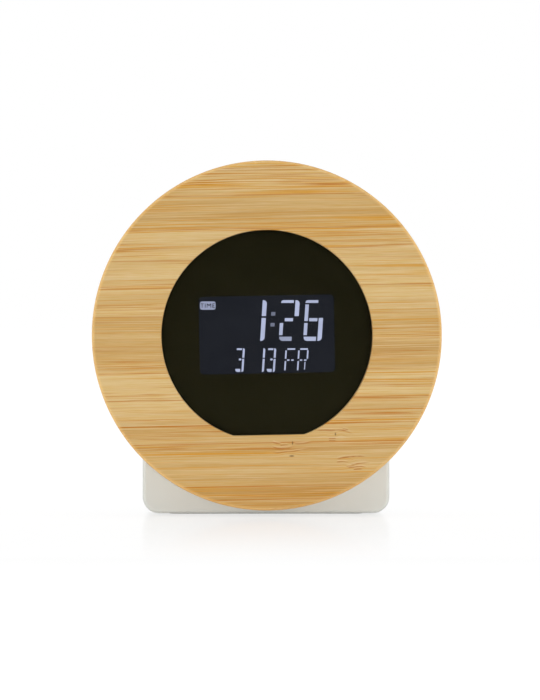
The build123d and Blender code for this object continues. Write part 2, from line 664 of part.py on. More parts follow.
def cut_door_seat(cover):
    """Rebate for the battery door, sockets for its pins and a scoop for a fingertip."""
    cover -= slab(door_outline(0), Y_BAY_BACK, Y_REAR - Y_BAY_BACK + OVERRUN)
    scoop = Pos(0, BAY_TOP) * Circle(SCOOP_DIAMETER / 2)
    above = Pos(0, BAY_TOP + SCOOP_DIAMETER / 2) * Rectangle(SCOOP_DIAMETER, SCOOP_DIAMETER)
    cover -= slab(scoop & above, Y_REAR - SCOOP_DEPTH, SCOOP_DEPTH + OVERRUN)
    for side in (-1, 1):
        cover -= door_pin(side, DOOR_PIN_FIT)
    return cover


def cut_controls(cover):
    """Holes for the buttons, the alarm knob and the sound."""
    through = COVER_THICKNESS + 2 * OVERRUN
    for x, z in button_places():
        cover -= rod(x, z, BUTTON_DIAMETER / 2 + SLIDING_FIT, Y_COVER - OVERRUN, through)
    for x, z in sound_hole_places():
        cover -= rod(x, BUZZER_Z + z, SOUND_HOLE_DIAMETER / 2, Y_COVER - OVERRUN, through)
    cover -= slab(knob_track(KNOB_LENGTH, KNOB_HEIGHT), Y_REAR - KNOB_RECESS, KNOB_RECESS + OVERRUN)
    return cover - slab(knob_track(KNOB_STEM, KNOB_STEM), Y_COVER - OVERRUN, through)


def knob_track(length, height):
    """Outline swept by a piece of the knob over its travel, with room all round."""
    wide = length + KNOB_TRAVEL + 2 * SLIDING_FIT
    return Pos(0, SWITCH_Z) * Rectangle(wide, height + 2 * SLIDING_FIT)


def cover_screws():
    seat = Y_REAR - COVER_SCREW_HEAD_HEIGHT
    return group([Pos(x, seat, z) * cover_screw() for x, z in cover_screw_places()])


# Battery bay: cells, contacts, springs and leads
def cell(x_flat, z, side):
    """One cell lying along x, its flat end at x_flat and its nub toward side."""
    body_length = CELL_LENGTH - CELL_NUB_HEIGHT
    body = fillet(Cylinder(CELL_RADIUS, body_length).edges().filter_by(GeomType.CIRCLE), CELL_EDGE_ROUND)
    body += Pos(0, 0, CELL_LENGTH / 2) * Cylinder(CELL_NUB_DIAMETER / 2, CELL_NUB_HEIGHT)
    return Pos(x_flat + side * body_length / 2, Y_CELL, z) * Rot(0, side * 90, 0) * body


def battery_cells():
    flat = BAY_HALF - CONTACT_THICKNESS - SPRING_LENGTH
    return group([cell(-flat, BAY_Z - CELL_RISE, 1), cell(flat, BAY_Z + CELL_RISE, -1)])


def contact_tag_places():
    """Middle of each solder tag, as x and z: lower left, upper left and right."""
    x = BAY_HALF - CONTACT_THICKNESS / 2
    return [(-x, BAY_Z - CELL_RISE), (-x, BAY_Z + CELL_RISE), (x, BAY_Z)]


def contact(place, height):
    """Plate standing on the end wall of the bay with a tag through the floor."""
    x, z = place
    plate = Pos(x, z) * Rectangle(CONTACT_THICKNESS, height)
    tag = Pos(x, z) * Rectangle(CONTACT_THICKNESS, TAG_WIDTH)
    return slab(plate, Y_BAY_FLOOR, CELL_DIAMETER) + slab(tag, Y_BAY - TAG_LENGTH, TAG_LENGTH + BAY_WALL)


def biarc(start, start_way, end, end_way):
    """Two arcs from start to end that keep both directions."""
    gap = end - start
    both = start_way + end_way
    spread = 2 * (1 - start_way.dot(end_way))
    reach = (sqrt(gap.dot(both) ** 2 + spread * gap.dot(gap)) - gap.dot(both)) / spread
    middle = (start + start_way * reach + end - end_way * reach) * 0.5
    first = Edge.make_tangent_arc(start, start_way, middle)
    return [first, Edge.make_tangent_arc(middle, first % 1, end)]


def spring():
    """Conical coil along +x with its wide end at the origin."""
    height = SPRING_LENGTH - SPRING_WIRE
    sweep_angle = 2 * pi * SPRING_TURNS
    slim = (SPRING_TIP_DIAMETER - SPRING_BASE_DIAMETER) / 2

    def place(share):
        radius = SPRING_BASE_DIAMETER / 2 + slim * share
        angle = sweep_angle * share
        return Vector(SPRING_WIRE / 2 + height * share, radius * cos(angle), radius * sin(angle))

    def way(share):
        radius = SPRING_BASE_DIAMETER / 2 + slim * share
        angle = sweep_angle * share
        across = Vector(0, -sin(angle), cos(angle)) * (radius * sweep_angle)
        return (Vector(height, slim * cos(angle), slim * sin(angle)) + across).normalized()

    shares = [k / (4 * SPRING_TURNS) for k in range(4 * SPRING_TURNS + 1)]
    arcs = [arc for a, b in zip(shares, shares[1:]) for arc in biarc(place(a), way(a), place(b), way(b))]
    path = Wire(arcs)
    print(f"spring pitch {height / SPRING_TURNS:.2f}, least gap between turns {least_coil_gap(place):.2f}")
    return sweep(Plane(origin=path @ 0, z_dir=path % 0) * Circle(SPRING_WIRE / 2), path=path)


def least_coil_gap(place):
    """Least gap between one turn of the spring and the next, measured on points."""
    steps = 60
    points = [place(k / (steps * SPRING_TURNS)) for k in range(steps * SPRING_TURNS + 1)]
    far = [(p - q).length for k, p in enumerate(points) for q in points[k + steps // 2:]]
    return min(far) - SPRING_WIRE


def battery_springs():
    end = BAY_HALF - CONTACT_THICKNESS
    left = Pos(-end, Y_CELL, BAY_Z - CELL_RISE) * spring()
    right = Pos(end, Y_CELL, BAY_Z + CELL_RISE) * Rot(0, 0, 180) * spring()
    return group([left, right])


def negative_contact():
    return contact(contact_tag_places()[0], CONTACT_WIDTH)


def positive_contact():
    return contact(contact_tag_places()[1], CONTACT_WIDTH)


def bridge_contact():
    return contact(contact_tag_places()[2], CONTACT_WIDTH + 2 * CELL_RISE)


def battery_lead(tag, share):
    """Wire from a solder tag forward, up past the bay and back to the main board."""
    x, z = tag
    end = share * MAIN_HALF
    front = Y_BAY - TAG_LENGTH - LEAD_FORWARD
    corners = [(x, Y_BAY - TAG_LENGTH, z), (x, front, z), (end, front, LEAD_Z), (end, Y_MAIN, LEAD_Z)]
    radius = LEAD_FORWARD * LEAD_BEND_SHARE
    print(f"battery lead arc radius {radius:.2f}")
    path = FilletPolyline(*corners, radius=radius)
    return sweep(Plane(origin=path @ 0, z_dir=path % 0) * Circle(LEAD_DIAMETER / 2), path=path)


def battery_leads():
    return group([battery_lead(tag, share) for tag, share in zip(contact_tag_places(), LEAD_PLACE_SHARES)])


# Battery door
def battery_door():
    """Door whose lower edge is round about its two pins, with ribs for a fingertip."""
    half_width = BAY_OUTER_HALF - SLIDING_FIT
    upright = Pos(Y_HINGE, (HINGE_Z + BAY_TOP) / 2) * Rectangle(DOOR_THICKNESS, BAY_TOP - HINGE_Z)
    section = upright + Pos(Y_HINGE, HINGE_Z) * Circle(DOOR_THICKNESS / 2)
    door = extrude(Plane.YZ * section, amount=half_width, both=True)
    door &= slab(door_outline(SLIDING_FIT), Y_DOOR, DOOR_THICKNESS)
    for side in (-1, 1):
        door += door_pin(side, 0)
    rib = SlotOverall(DOOR_RIB_LENGTH, DOOR_RIB_WIDTH)
    for k in range(DOOR_RIB_COUNT):
        z = BAY_TOP - DOOR_RIB_DROP - k * DOOR_RIB_PITCH
        door += slab(Pos(0, z) * rib, Y_REAR, DOOR_RIB_PROUD)
    return door


# Main board and what it carries
def main_board():
    wide = Pos(0, (MAIN_LOW + MAIN_SHOULDER) / 2) * Rectangle(2 * MAIN_HALF, MAIN_SHOULDER - MAIN_LOW)
    neck = Pos(0, (MAIN_LOW + MAIN_TOP) / 2) * Rectangle(MAIN_NECK, MAIN_TOP - MAIN_LOW)
    board = slab(wide + neck, Y_MAIN, BOARD_THICKNESS)
    for x, z in main_screw_places():
        board -= screw_hole(x, z, SMALL_SCREW_SHANK, Y_MAIN - OVERRUN, BOARD_THICKNESS + 2 * OVERRUN)
    return board


def main_board_screws():
    return group([Pos(x, Y_MAIN, z) * Rot(0, 0, 180) * small_screw() for x, z in main_screw_places()])


def key_switches():
    hole_depth = PLUNGER_DEPTH + BUTTON_TRAVEL + SLIDING_FIT
    keys = []
    for x, z in button_places():
        key = slab(Pos(x, z) * Rectangle(KEY_WIDTH, KEY_WIDTH), Y_MAIN_BACK, KEY_HEIGHT)
        hole = rod(x, z, PLUNGER_DIAMETER / 2 + RUNNING_FIT, Y_KEY_BACK - hole_depth, hole_depth + OVERRUN)
        keys.append(key - hole)
    return group(keys)


def plunger(place):
    x, z = place
    return rod(x, z, PLUNGER_DIAMETER / 2, Y_KEY_BACK - PLUNGER_DEPTH, PLUNGER_DEPTH + PLUNGER_PROUD)


def button(place):
    x, z = place
    cap = rod(x, z, BUTTON_DIAMETER / 2, Y_COVER, COVER_THICKNESS + BUTTON_PROUD)
    cap = fillet(cap.edges().group_by(Axis.Y)[-1], BUTTON_EDGE_ROUND)
    return cap + rod(x, z, BUTTON_FLANGE_DIAMETER / 2, Y_COVER - BUTTON_FLANGE, BUTTON_FLANGE)


def slide_switch():
    body = slab(Pos(0, SWITCH_Z) * Rectangle(SWITCH_LENGTH, SWITCH_HEIGHT), Y_MAIN_BACK, SWITCH_DEPTH)
    top = Y_MAIN_BACK + SWITCH_DEPTH
    return body - slab(knob_track(KNOB_STEM, KNOB_STEM), top - SWITCH_SLOT_DEPTH, SWITCH_SLOT_DEPTH + OVERRUN)


def alarm_knob():
    x = -KNOB_TRAVEL / 2
    foot = Y_MAIN_BACK + SWITCH_DEPTH - SWITCH_SLOT_DEPTH + SLIDING_FIT
    under = Y_REAR - KNOB_RECESS + SLIDING_FIT
    crown = Y_REAR + KNOB_PROUD
    knob = slab(Pos(x, SWITCH_Z) * Rectangle(KNOB_LENGTH, KNOB_HEIGHT), under, crown - under)
    knob += slab(Pos(x, SWITCH_Z) * Rectangle(KNOB_STEM, KNOB_STEM), foot, under - foot)
    pitch = KNOB_LENGTH / (KNOB_RIB_COUNT + 1)
    for k in range(KNOB_RIB_COUNT):
        offset = pitch * (k - (KNOB_RIB_COUNT - 1) / 2)
        rib = Pos(x + offset, SWITCH_Z) * Rectangle(KNOB_RIB_WIDTH, KNOB_HEIGHT)
        knob += slab(rib, crown, KNOB_RIB_PROUD)
    return knob


def buzzer():
    can = rod(0, BUZZER_Z, BUZZER_DIAMETER / 2, Y_MAIN_BACK, BUZZER_DEPTH)
    top = Y_MAIN_BACK + BUZZER_DEPTH
    return can - rod(0, BUZZER_Z, BUZZER_PORT_DIAMETER / 2, top - BUZZER_PORT_DEPTH, BUZZER_PORT_DEPTH)


def main_connector():
    shroud = Pos(0, AXIS_Z) * Rectangle(CONNECTOR_WIDTH, CONNECTOR_HEIGHT)
    return slab(shroud, Y_MAIN - CONNECTOR_DEPTH, CONNECTOR_DEPTH)


def lead_bundle():
    front = Y_BOARD_BACK + CONNECTOR_DEPTH
    return rod(0, AXIS_Z, BUNDLE_DIAMETER / 2, front, Y_MAIN - CONNECTOR_DEPTH - front)


HEAD = (bamboo_face, display_lens, window_mask, display_tray, lcd_glass, polariser_films, light_guide,
        reflector_sheet, backlight_led, zebra_strip, display_board, board_screws, clock_chip, quartz_crystal,
        display_connector, head_back, face_screws, hub_retainer, retainer_screws)
HUB_RINGS = (friction_ring, thrust_washer)
BASE = (base_shell, anti_slip_pad, rear_cover, cover_screws, battery_cells, battery_springs, negative_contact,
        positive_contact, bridge_contact, battery_leads, battery_door, main_board, main_board_screws,
        key_switches, slide_switch, alarm_knob, buzzer, main_connector, lead_bundle)


def all_pieces():
    pieces = {make.__name__: on_axis(make()) for make in HEAD + HUB_RINGS}
    pieces.update({make.__name__: make() for make in BASE})
    for name, place in zip(BUTTON_NAMES, button_places()):
        pieces[f"{name}_button"] = button(place)
        pieces[f"{name}_plunger"] = plunger(place)
    return pieces


os.makedirs("parts", exist_ok=True)
for name, piece in all_pieces().items():
    export_step(piece, f"parts/{name}.step")
print(f"face axis height {AXIS_Z:.2f}, face front {Y_FACE:.2f}, face back {Y_FACE_BACK:.2f}")
print(f"door hinge y {Y_HINGE:.2f} z {HINGE_Z:.2f}")
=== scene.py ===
# %% [markdown]
# # Dressing a bamboo desk clock
# The clock's solids were drawn in a CAD program and arrive here as a fixed frame: every piece already has
# its real size and place, in metres. This lesson gives each surface its finish, adds the thin things a CAD
# model leaves out, such as the glowing segments of the display, and sets up a small photo studio around the
# clock.

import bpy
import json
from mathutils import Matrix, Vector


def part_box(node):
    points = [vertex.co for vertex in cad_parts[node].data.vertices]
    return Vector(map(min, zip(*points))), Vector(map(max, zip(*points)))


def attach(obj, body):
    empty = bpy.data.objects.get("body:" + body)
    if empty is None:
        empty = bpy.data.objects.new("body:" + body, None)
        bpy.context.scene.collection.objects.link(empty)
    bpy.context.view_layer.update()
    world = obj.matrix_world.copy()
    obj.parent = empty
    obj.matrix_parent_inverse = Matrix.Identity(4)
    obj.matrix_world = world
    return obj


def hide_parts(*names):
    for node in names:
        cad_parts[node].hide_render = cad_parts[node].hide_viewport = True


MM = 0.001
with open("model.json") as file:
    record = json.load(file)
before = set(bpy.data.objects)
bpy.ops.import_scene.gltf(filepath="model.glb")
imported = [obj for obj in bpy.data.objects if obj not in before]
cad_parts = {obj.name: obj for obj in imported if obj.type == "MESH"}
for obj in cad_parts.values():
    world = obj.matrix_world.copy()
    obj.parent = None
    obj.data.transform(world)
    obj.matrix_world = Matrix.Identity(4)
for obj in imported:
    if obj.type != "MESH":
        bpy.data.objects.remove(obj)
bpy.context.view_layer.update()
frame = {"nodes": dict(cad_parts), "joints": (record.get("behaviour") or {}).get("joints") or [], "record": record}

# %% [markdown]
# ## What the frame tells us
# The face is a disc that can turn on the base. In the photograph it is turned by about one degree, and the
# joint's range says so: its two ends lie unevenly about rest. Reading such facts from the frame keeps the
# looks in step with the solids when a size changes there.

# %% Measure the face
import json
import math

import bmesh
import bpy
from mathutils import Matrix, Vector

face_low, face_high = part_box("bamboo_face")
face_joint = next(joint for joint in frame["joints"] if joint["name"] == "face_turn")
AXIS_Z = face_joint["pos_m"][2]
FACE_TURN = -math.radians(sum(face_joint["range_deg"]) / 2)
FACE_DIAMETER = face_high.x - face_low.x
print("face diameter", round(FACE_DIAMETER, 4), "turned by", round(math.degrees(FACE_TURN), 2), "degrees")

# %% [markdown]
# ## The camera
# A product photographer stands well back with a long lens, so that circles stay circles. The face is 350
# pixels wide in a picture 700 pixels tall, which fixes how far away the camera is once the lens is chosen.
# The camera sits a hair to the left and a little above the face's centre. It aims at the middle of the
# picture, which lies just below and to the right of the face's centre.

# %% Place the camera
PHOTO_SIZE_PX = (540, 700)
FACE_CENTRE_PX = (267.0, 335.6)
FACE_WIDTH_PX = 350.4
LENS_MM = 200.0
SENSOR_MM = 36.0
CLIP_START = 0.05
CAMERA_AZIMUTH = math.radians(-1.0)
CAMERA_ELEVATION = math.radians(0.6)

PIXEL = FACE_DIAMETER / FACE_WIDTH_PX
face_front = Vector((0, face_low.y, AXIS_Z))
distance = PHOTO_SIZE_PX[1] * PIXEL * LENS_MM / SENSOR_MM
back = Vector((
    math.sin(CAMERA_AZIMUTH) * math.cos(CAMERA_ELEVATION),
    -math.cos(CAMERA_AZIMUTH) * math.cos(CAMERA_ELEVATION),
    math.sin(CAMERA_ELEVATION)))
aim = face_front + PIXEL * Vector((
    PHOTO_SIZE_PX[0] / 2 - FACE_CENTRE_PX[0], 0, FACE_CENTRE_PX[1] - PHOTO_SIZE_PX[1] / 2))

camera = bpy.data.objects.new("camera", bpy.data.cameras.new("camera"))
bpy.context.collection.objects.link(camera)
camera.data.lens = LENS_MM
camera.data.sensor_width = SENSOR_MM
camera.data.clip_start = CLIP_START
camera.location = face_front + back * distance
camera.rotation_euler = (aim - camera.location).to_track_quat("-Z", "Y").to_euler()
bpy.context.scene.camera = camera
bpy.context.scene.view_settings.view_transform = "Standard"
print("camera stands", round(distance, 3), "m from the face")

# %% [markdown]
# ## Short words for wiring nodes
# Materials in this lesson are node trees. Writing a tree in plain calls is long, so this small class gives
# short words for the steps that come back all the time: add a node, do a sum, stretch a range, mix two
# colours, sample a noise and raise a relief. Distances inside the materials are in millimetres, because
# that is how one thinks about wood fibres and the grain of a plastic.

# %% Wiring helper
class Wiring:
    """Short words for adding and joining the nodes of one tree."""

    def __init__(self, tree):
        self.tree = tree

    def add(self, kind, inputs=None, **settings):
        """Add a node, set its properties, and set or link its inputs by name or number."""
        made = self.tree.nodes.new(kind)
        for name, value in settings.items():
            setattr(made, name, value)
        for key, value in (inputs or {}).items():
            self.feed(made.inputs[key], value)
        return made

    def feed(self, socket, value):
        """Link a value to an input, or set it there when it is a plain one."""
        if isinstance(value, bpy.types.NodeSocket):
            self.tree.links.new(value, socket)
        else:
            socket.default_value = value

    def sum(self, operation, first, second=0.0):
        """One step of arithmetic."""
        return self.add("ShaderNodeMath", {0: first, 1: second}, operation=operation).outputs[0]

    def length(self, first, second):
        """How far a point with two coordinates lies from zero."""
        squares = [self.sum("MULTIPLY", side, side) for side in (first, second)]
        return self.sum("SQRT", self.sum("ADD", *squares))

    def stretch(self, value, low, high, to_low=0.0, to_high=1.0):
        """Ease a value from one range to another."""
        inputs = {"Value": value, "From Min": low, "From Max": high, "To Min": to_low, "To Max": to_high}
        return self.add("ShaderNodeMapRange", inputs, interpolation_type="SMOOTHSTEP").outputs["Result"]

    def mix(self, share, first, second, blend="MIX"):
        """Mix two colours by a share from 0 to 1; a Mix node's colours are its sockets 6, 7 and 2."""
        inputs = {0: share, 6: first, 7: second}
        return self.add("ShaderNodeMix", inputs, data_type="RGBA", blend_type=blend).outputs[2]

    def join(self, *parts):
        """Three values as one vector or colour."""
        return self.add("ShaderNodeCombineXYZ", dict(enumerate(parts))).outputs[0]

    def split(self, vector):
        """The three parts of a vector."""
        return self.add("ShaderNodeSeparateXYZ", {0: vector}).outputs

    def place(self, location=(0, 0, 0), turn=0.0):
        """The piece's own coordinates in millimetres, measured from a point and turned about the depth."""
        inputs = {
            "Vector": self.add("ShaderNodeTexCoord").outputs["Object"],
            "Location": location, "Rotation": (0, turn, 0), "Scale": (MM, MM, MM)}
        return self.add("ShaderNodeMapping", inputs, vector_type="TEXTURE").outputs[0]

    def noise(self, place, sizes, detail=2.0, roughness=0.5, shift=0.0):
        """Noise whose blobs have the given size along x, y and z; a shift gives another pattern."""
        inputs = {0: place, 1: tuple(1 / size for size in sizes), 2: (shift, 2 * shift, 3 * shift)}
        scaled = self.add("ShaderNodeVectorMath", inputs, operation="MULTIPLY_ADD").outputs[0]
        inputs = {"Vector": scaled, "Scale": 1.0, "Detail": detail, "Roughness": roughness}
        return self.add("ShaderNodeTexNoise", inputs, noise_dimensions="3D").outputs[0]

    def relief(self, height, strength, depth):
        """A normal that follows a height, with a depth in millimetres."""
        inputs = {"Height": height, "Strength": strength, "Distance": depth * MM}
        return self.add("ShaderNodeBump", inputs).outputs[0]


print("wiring words", [word for word in vars(Wiring) if not word.startswith("_")])

# %% [markdown]
# ## Colours and new materials
# A colour is easiest to read as on a paint chip, with red, green and blue from 0 to 255, while a shader
# wants linear light, so one function turns the first into the second. A material starts with a single
# shader, and a short call joins values to its sockets. A noise hardly ever reaches 0 or 1, so three named
# ranges say where its values lie.

# %% Colours and new materials
WHITE = (1.0, 1.0, 1.0, 1.0)
BLACK = (0.0, 0.0, 0.0, 1.0)
# Ranges that hold the core of a noise, most of it and nearly all of it
NOISE_CORE = (0.3, 0.7)
NOISE_SPAN = (0.25, 0.75)
NOISE_REACH = (0.2, 0.8)


def colour(red, green, blue):
    """A colour as a paint chip names it, from 0 to 255, made linear by the curve of the sRGB standard."""
    shares = [part / 255 for part in (red, green, blue)]
    linear = [share / 12.92 if share <= 0.04045 else ((share + 0.055) / 1.055) ** 2.4 for share in shares]
    return (*linear, 1.0)


def empty_material(name):
    """A material without nodes, and its wiring."""
    material = bpy.data.materials.new(name)
    material.use_nodes = True
    material.node_tree.nodes.clear()
    return material, Wiring(material.node_tree)


def new_material(name):
    """A material with one shader: the material, its wiring and the shader."""
    material, wiring = empty_material(name)
    shader = wiring.add("ShaderNodeBsdfPrincipled")
    wiring.add("ShaderNodeOutputMaterial", {"Surface": shader.outputs[0]})
    return material, wiring, shader


def link(wiring, shader, **sockets):
    """Join values to a shader's inputs, or set them; an underscore in a name stands for a space."""
    for name, value in sockets.items():
        wiring.feed(shader.inputs[name.replace("_", " ")], value)


print("middle grey as linear light", round(colour(128, 128, 128)[0], 3))

# %% [markdown]
# ## Laminated bamboo
# The face is cut from a board of bamboo strips, each about 8 mm wide, glued side by side. Every strip has
# its own tone, and its fibres run along it as fine orange streaks. A photograph of wood would be quick, but
# it would not follow the rim and the end grain. So the pattern is built in three dimensions from the
# piece's own coordinates. It starts with the strips: a ramp with one step for each tone, and a thin dark
# line along each seam.

# %% Strips of the board
# Each strip's lower edge in mm from the face's centre, tone from dark 0 to light 1, and seam's depth
STRIPS = (
    (40.2, 0.71, 0.55), (30.6, 0.43, 0.65), (21.9, 0.74, 0.40), (14.0, 0.96, 0.60), (6.0, 0.83, 0.30),
    (-2.4, 0.58, 0.20), (-10.1, 0.50, 0.60), (-18.0, 0.95, 0.60), (-25.4, 0.80, 0.85), (-30.6, 0.59, 0.55),
    (-43.0, 0.50, 0.70), (-46.8, 0.08, 0.55), (-50.0, 0.35, 0.0))
DARK_STRIP = colour(181, 137, 71)
LIGHT_STRIP = colour(215, 186, 130)
LINE = colour(206, 147, 46)
DEEP_LINE = colour(184, 114, 28)
PALE_LINE = colour(219, 194, 148)
BOARD_HALF = FACE_DIAMETER / MM / 2
# A seam is at its darkest up to the first distance from its middle and gone at the second, in mm
SEAM_REACH = (0.05, 0.26)
# Layers of noise: size of the blobs along the fibres, through the board and across the fibres in mm, detail,
# shift to another pattern, and how the noise is stretched: from, to, and what these two become
LAYERS = {
    "seam": ((16.0, 9.0, 3.0), 1.0, 0.0, (0.32, 0.60, 0.45, 1.25)),
    "wander": ((70.0, 60.0, 18.0), 1.0, 0.0, (0.25, 0.75, -0.25, 0.25)),
    "swirl": ((5.5, 4.6, 2.2), 0.0, 0.0, (0.25, 0.75, -0.45, 0.45)),
    "cloud": ((90.0, 6.0, 2.8), 2.0, 0.0, (0.30, 0.70, -0.22, 0.22)),
    "pale": ((52.0, 0.8, 0.28), 1.0, 31.0, (0.54, 0.68, 0.0, 0.60)),
    "line": ((54.0, 0.7, 0.21), 1.5, 11.0, (0.50, 0.65, 0.0, 0.85)),
    "calm": ((70.0, 9.0, 4.5), 1.0, 61.0, (0.36, 0.62, 0.45, 1.15)),
    "deep": ((36.0, 1.0, 0.20), 1.0, 47.0, (0.55, 0.635, 0.0, 1.0)),
    "clump": ((75.0, 9.0, 2.6), 1.0, 23.0, (0.42, 0.62, 0.05, 0.95)),
    "broken": ((2.6, 1.0, 0.7), 1.0, 3.0, (0.34, 0.58, 0.45, 0.95)),
    "pores": ((0.34, 0.34, 0.30), 1.0, 0.0, (0.52, 0.66, 0.0, 0.40))}


def layer(w, name, place):
    """One layer of noise at a place, stretched to its own range."""
    sizes, detail, shift, ranges = LAYERS[name]
    return w.stretch(w.noise(place, sizes, detail, shift=shift), *ranges)


def strip_tone(w, height):
    """Tone of the strip at a height, from a ramp with one step for each strip."""
    share = w.sum("DIVIDE", w.sum("ADD", height, BOARD_HALF), 2 * BOARD_HALF)
    ramp = w.add("ShaderNodeValToRGB", {"Fac": share})
    ramp.color_ramp.interpolation = "CONSTANT"
    steps = ramp.color_ramp.elements
    for low, tone, seam in reversed(STRIPS):
        step = steps.new(max(0.0, (low + BOARD_HALF) / (2 * BOARD_HALF)))
        step.color = (tone, tone, tone, 1)
    # The two stops that a new ramp comes with are dropped
    steps.remove(steps[0])
    steps.remove(steps[-1])
    return ramp.outputs["Color"]


def seam_lines(w, board, height):
    """Thin dark lines where two strips are glued, fading in and out along the board."""
    lines = 0.0
    for low, tone, seam in STRIPS[:-1]:
        away = w.sum("ABSOLUTE", w.sum("SUBTRACT", height, low))
        lines = w.sum("ADD", lines, w.stretch(away, *SEAM_REACH, seam, 0.0))
    return w.sum("MULTIPLY", lines, layer(w, "seam", board))


print("strips", len(STRIPS), "layers of noise", len(LAYERS))

# %% [markdown]
# ## Knuckles
# Where a strip crosses a joint of the cane, its fibres part round a small knuckle. Noise alone gives curls
# that look like eyes, so the marks of the three knuckles are drawn one by one: short bowed strokes,
# each dark with a pale painted glint just above it, and the ticks that the buds left. A mask round each
# knuckle says where the fibres may bend.

# %% Knuckle marks
KNUCKLE = colour(174, 110, 46)
TICK = colour(88, 58, 26)
# Knuckles: middle along and across the fibres, and half of the length and height, in mm
KNUCKLES = ((5.5, -32.4, 6.0, 2.8), (19.0, -28.6, 6.0, 2.4), (24.0, -37.0, 5.5, 2.6))
# Strokes: start and end, each along and across the fibres, and how far the middle bows up, in mm
STROKES = (
    (1.0, -30.4, 3.7, -31.0, 0.0), (7.0, -31.0, 12.4, -30.8, 0.0), (3.1, -31.3, 5.7, -31.4, 0.0),
    (0.9, -31.7, 7.3, -31.9, -0.4), (1.0, -33.2, 11.4, -32.6, -0.4), (13.4, -27.3, 24.4, -28.5, 0.6),
    (17.0, -29.7, 19.3, -29.7, 0.0), (17.0, -30.3, 19.2, -30.3, 0.0), (21.0, -27.1, 22.8, -27.5, 0.0),
    (19.1, -35.4, 27.9, -35.1, 0.1), (19.1, -36.3, 22.8, -36.4, 0.0), (23.1, -37.1, 28.7, -36.6, -0.2),
    (21.8, -37.8, 24.6, -37.4, 0.0), (22.1, -38.3, 27.9, -38.1, 0.2), (23.9, -38.9, 26.7, -38.7, 0.0))
# Ticks: place along and across the fibres, and their reach, in mm
TICKS = ((6.7, -30.8, 0.30, 0.75), (6.4, -34.5, 1.0, 0.36), (19.0, -28.5, 0.32, 0.65))
# A stroke is full up to the first distance from its middle and gone at the second, in mm
STROKE_REACH = (0.04, 0.27)
# How far above a stroke its painted glint lies, in mm
GLINT_OFFSET = 0.42
# Shares of a stroke's length over which it sets in and dies away
STROKE_START = (-0.02, 0.14)
STROKE_END = (0.70, 1.02)
OVAL_CORE = 0.2


def ovals(w, along, height, places):
    """1 near each place, fading to 0 at its reach along and across the fibres."""
    mask = 0.0
    for x, z, reach_x, reach_z in places:
        across = w.sum("DIVIDE", w.sum("SUBTRACT", along, x), reach_x)
        up = w.sum("DIVIDE", w.sum("SUBTRACT", height, z), reach_z)
        mask = w.sum("MAXIMUM", mask, w.stretch(w.length(across, up), OVAL_CORE, 1.0, 1.0, 0.0))
    return mask


def line_mask(w, off):
    """1 on a line, fading to 0 at a stroke's reach."""
    return w.stretch(w.sum("ABSOLUTE", off), *STROKE_REACH, 1.0, 0.0)


def stroke_masks(w, along, height):
    """1 on each dark stroke of a knuckle, and 1 on the painted glint that lies just above it."""
    dark, pale = 0.0, 0.0
    for start_x, start_z, end_x, end_z, bow in STROKES:
        share = w.sum("DIVIDE", w.sum("SUBTRACT", along, start_x), end_x - start_x)
        ends = w.sum("MULTIPLY", w.stretch(share, *STROKE_START), w.stretch(share, *STROKE_END, 1.0, 0.0))
        # Times 4, the arch reaches its bow at the middle of the stroke
        arch = w.sum("MULTIPLY", w.sum("MULTIPLY", share, w.sum("SUBTRACT", 1.0, share)), 4 * bow)
        level = w.sum("ADD", w.sum("MULTIPLY", share, end_z - start_z), arch)
        off = w.sum("SUBTRACT", w.sum("SUBTRACT", height, level), start_z)
        glint = line_mask(w, w.sum("SUBTRACT", off, GLINT_OFFSET))
        dark = w.sum("MAXIMUM", dark, w.sum("MULTIPLY", ends, line_mask(w, off)))
        pale = w.sum("MAXIMUM", pale, w.sum("MULTIPLY", ends, glint))
    return dark, pale


print("knuckles", len(KNUCKLES), "strokes", len(STROKES), "ticks", len(TICKS))

# %% [markdown]
# ## Fibres
# The fibres are noise drawn out along the board. Pale, orange and deep brown ones lie over the strips'
# tones, and each strip slips along by its own amount, so that no streak crosses a seam. A slow wander keeps
# the lines from being ruled, and the mask of the knuckles lets them bend more there. Fibres are as thin
# through the board as across it, so the depth behind the front counts more than it measures.

# %% Fibre colours
FRONT_DEPTH = face_low.y / MM
DEPTH_SQUEEZE = 2.5
STRIP_SLIP = 613.0
STROKE_SWIRL = 0.5
GLINT_SHARE = 0.45
TICK_SHARE = 0.75


def bent_board(w, axes, tone, wander, swirl):
    """The board's coordinates with strips slipped along, the depth squeezed and the fibres bent."""
    along, depth, height = axes
    bend = w.sum("ADD", wander, w.sum("MULTIPLY", swirl, ovals(w, along, height, KNUCKLES)))
    inside = w.sum("MULTIPLY", w.sum("SUBTRACT", depth, FRONT_DEPTH), DEPTH_SQUEEZE)
    slipped = w.sum("ADD", along, w.sum("MULTIPLY", tone, STRIP_SLIP))
    return w.join(slipped, w.sum("ADD", inside, FRONT_DEPTH), w.sum("ADD", height, bend))


def fibre_colours(w, bent, tone):
    """The strips' tones with pale, orange and deep brown fibres over them."""
    base = w.mix(w.sum("ADD", tone, layer(w, "cloud", bent)), DARK_STRIP, LIGHT_STRIP)
    base = w.mix(layer(w, "pale", bent), base, PALE_LINE)
    base = w.mix(w.sum("MULTIPLY", layer(w, "line", bent), layer(w, "calm", bent)), base, LINE)
    return w.mix(w.sum("MULTIPLY", layer(w, "deep", bent), layer(w, "clump", bent)), base, DEEP_LINE)


def knuckle_colours(w, base, board, axes, swirl):
    """The strokes and ticks of the knuckles over a colour."""
    along, depth, height = axes
    dark, glint = stroke_masks(w, along, w.sum("ADD", height, w.sum("MULTIPLY", swirl, STROKE_SWIRL)))
    # Painted glint: a pale line just above each dark stroke
    base = w.mix(w.sum("MULTIPLY", glint, GLINT_SHARE), base, PALE_LINE)
    base = w.mix(w.sum("MULTIPLY", dark, layer(w, "broken", board)), base, KNUCKLE)
    return w.mix(w.sum("MULTIPLY", ovals(w, along, height, TICKS), TICK_SHARE), base, TICK)


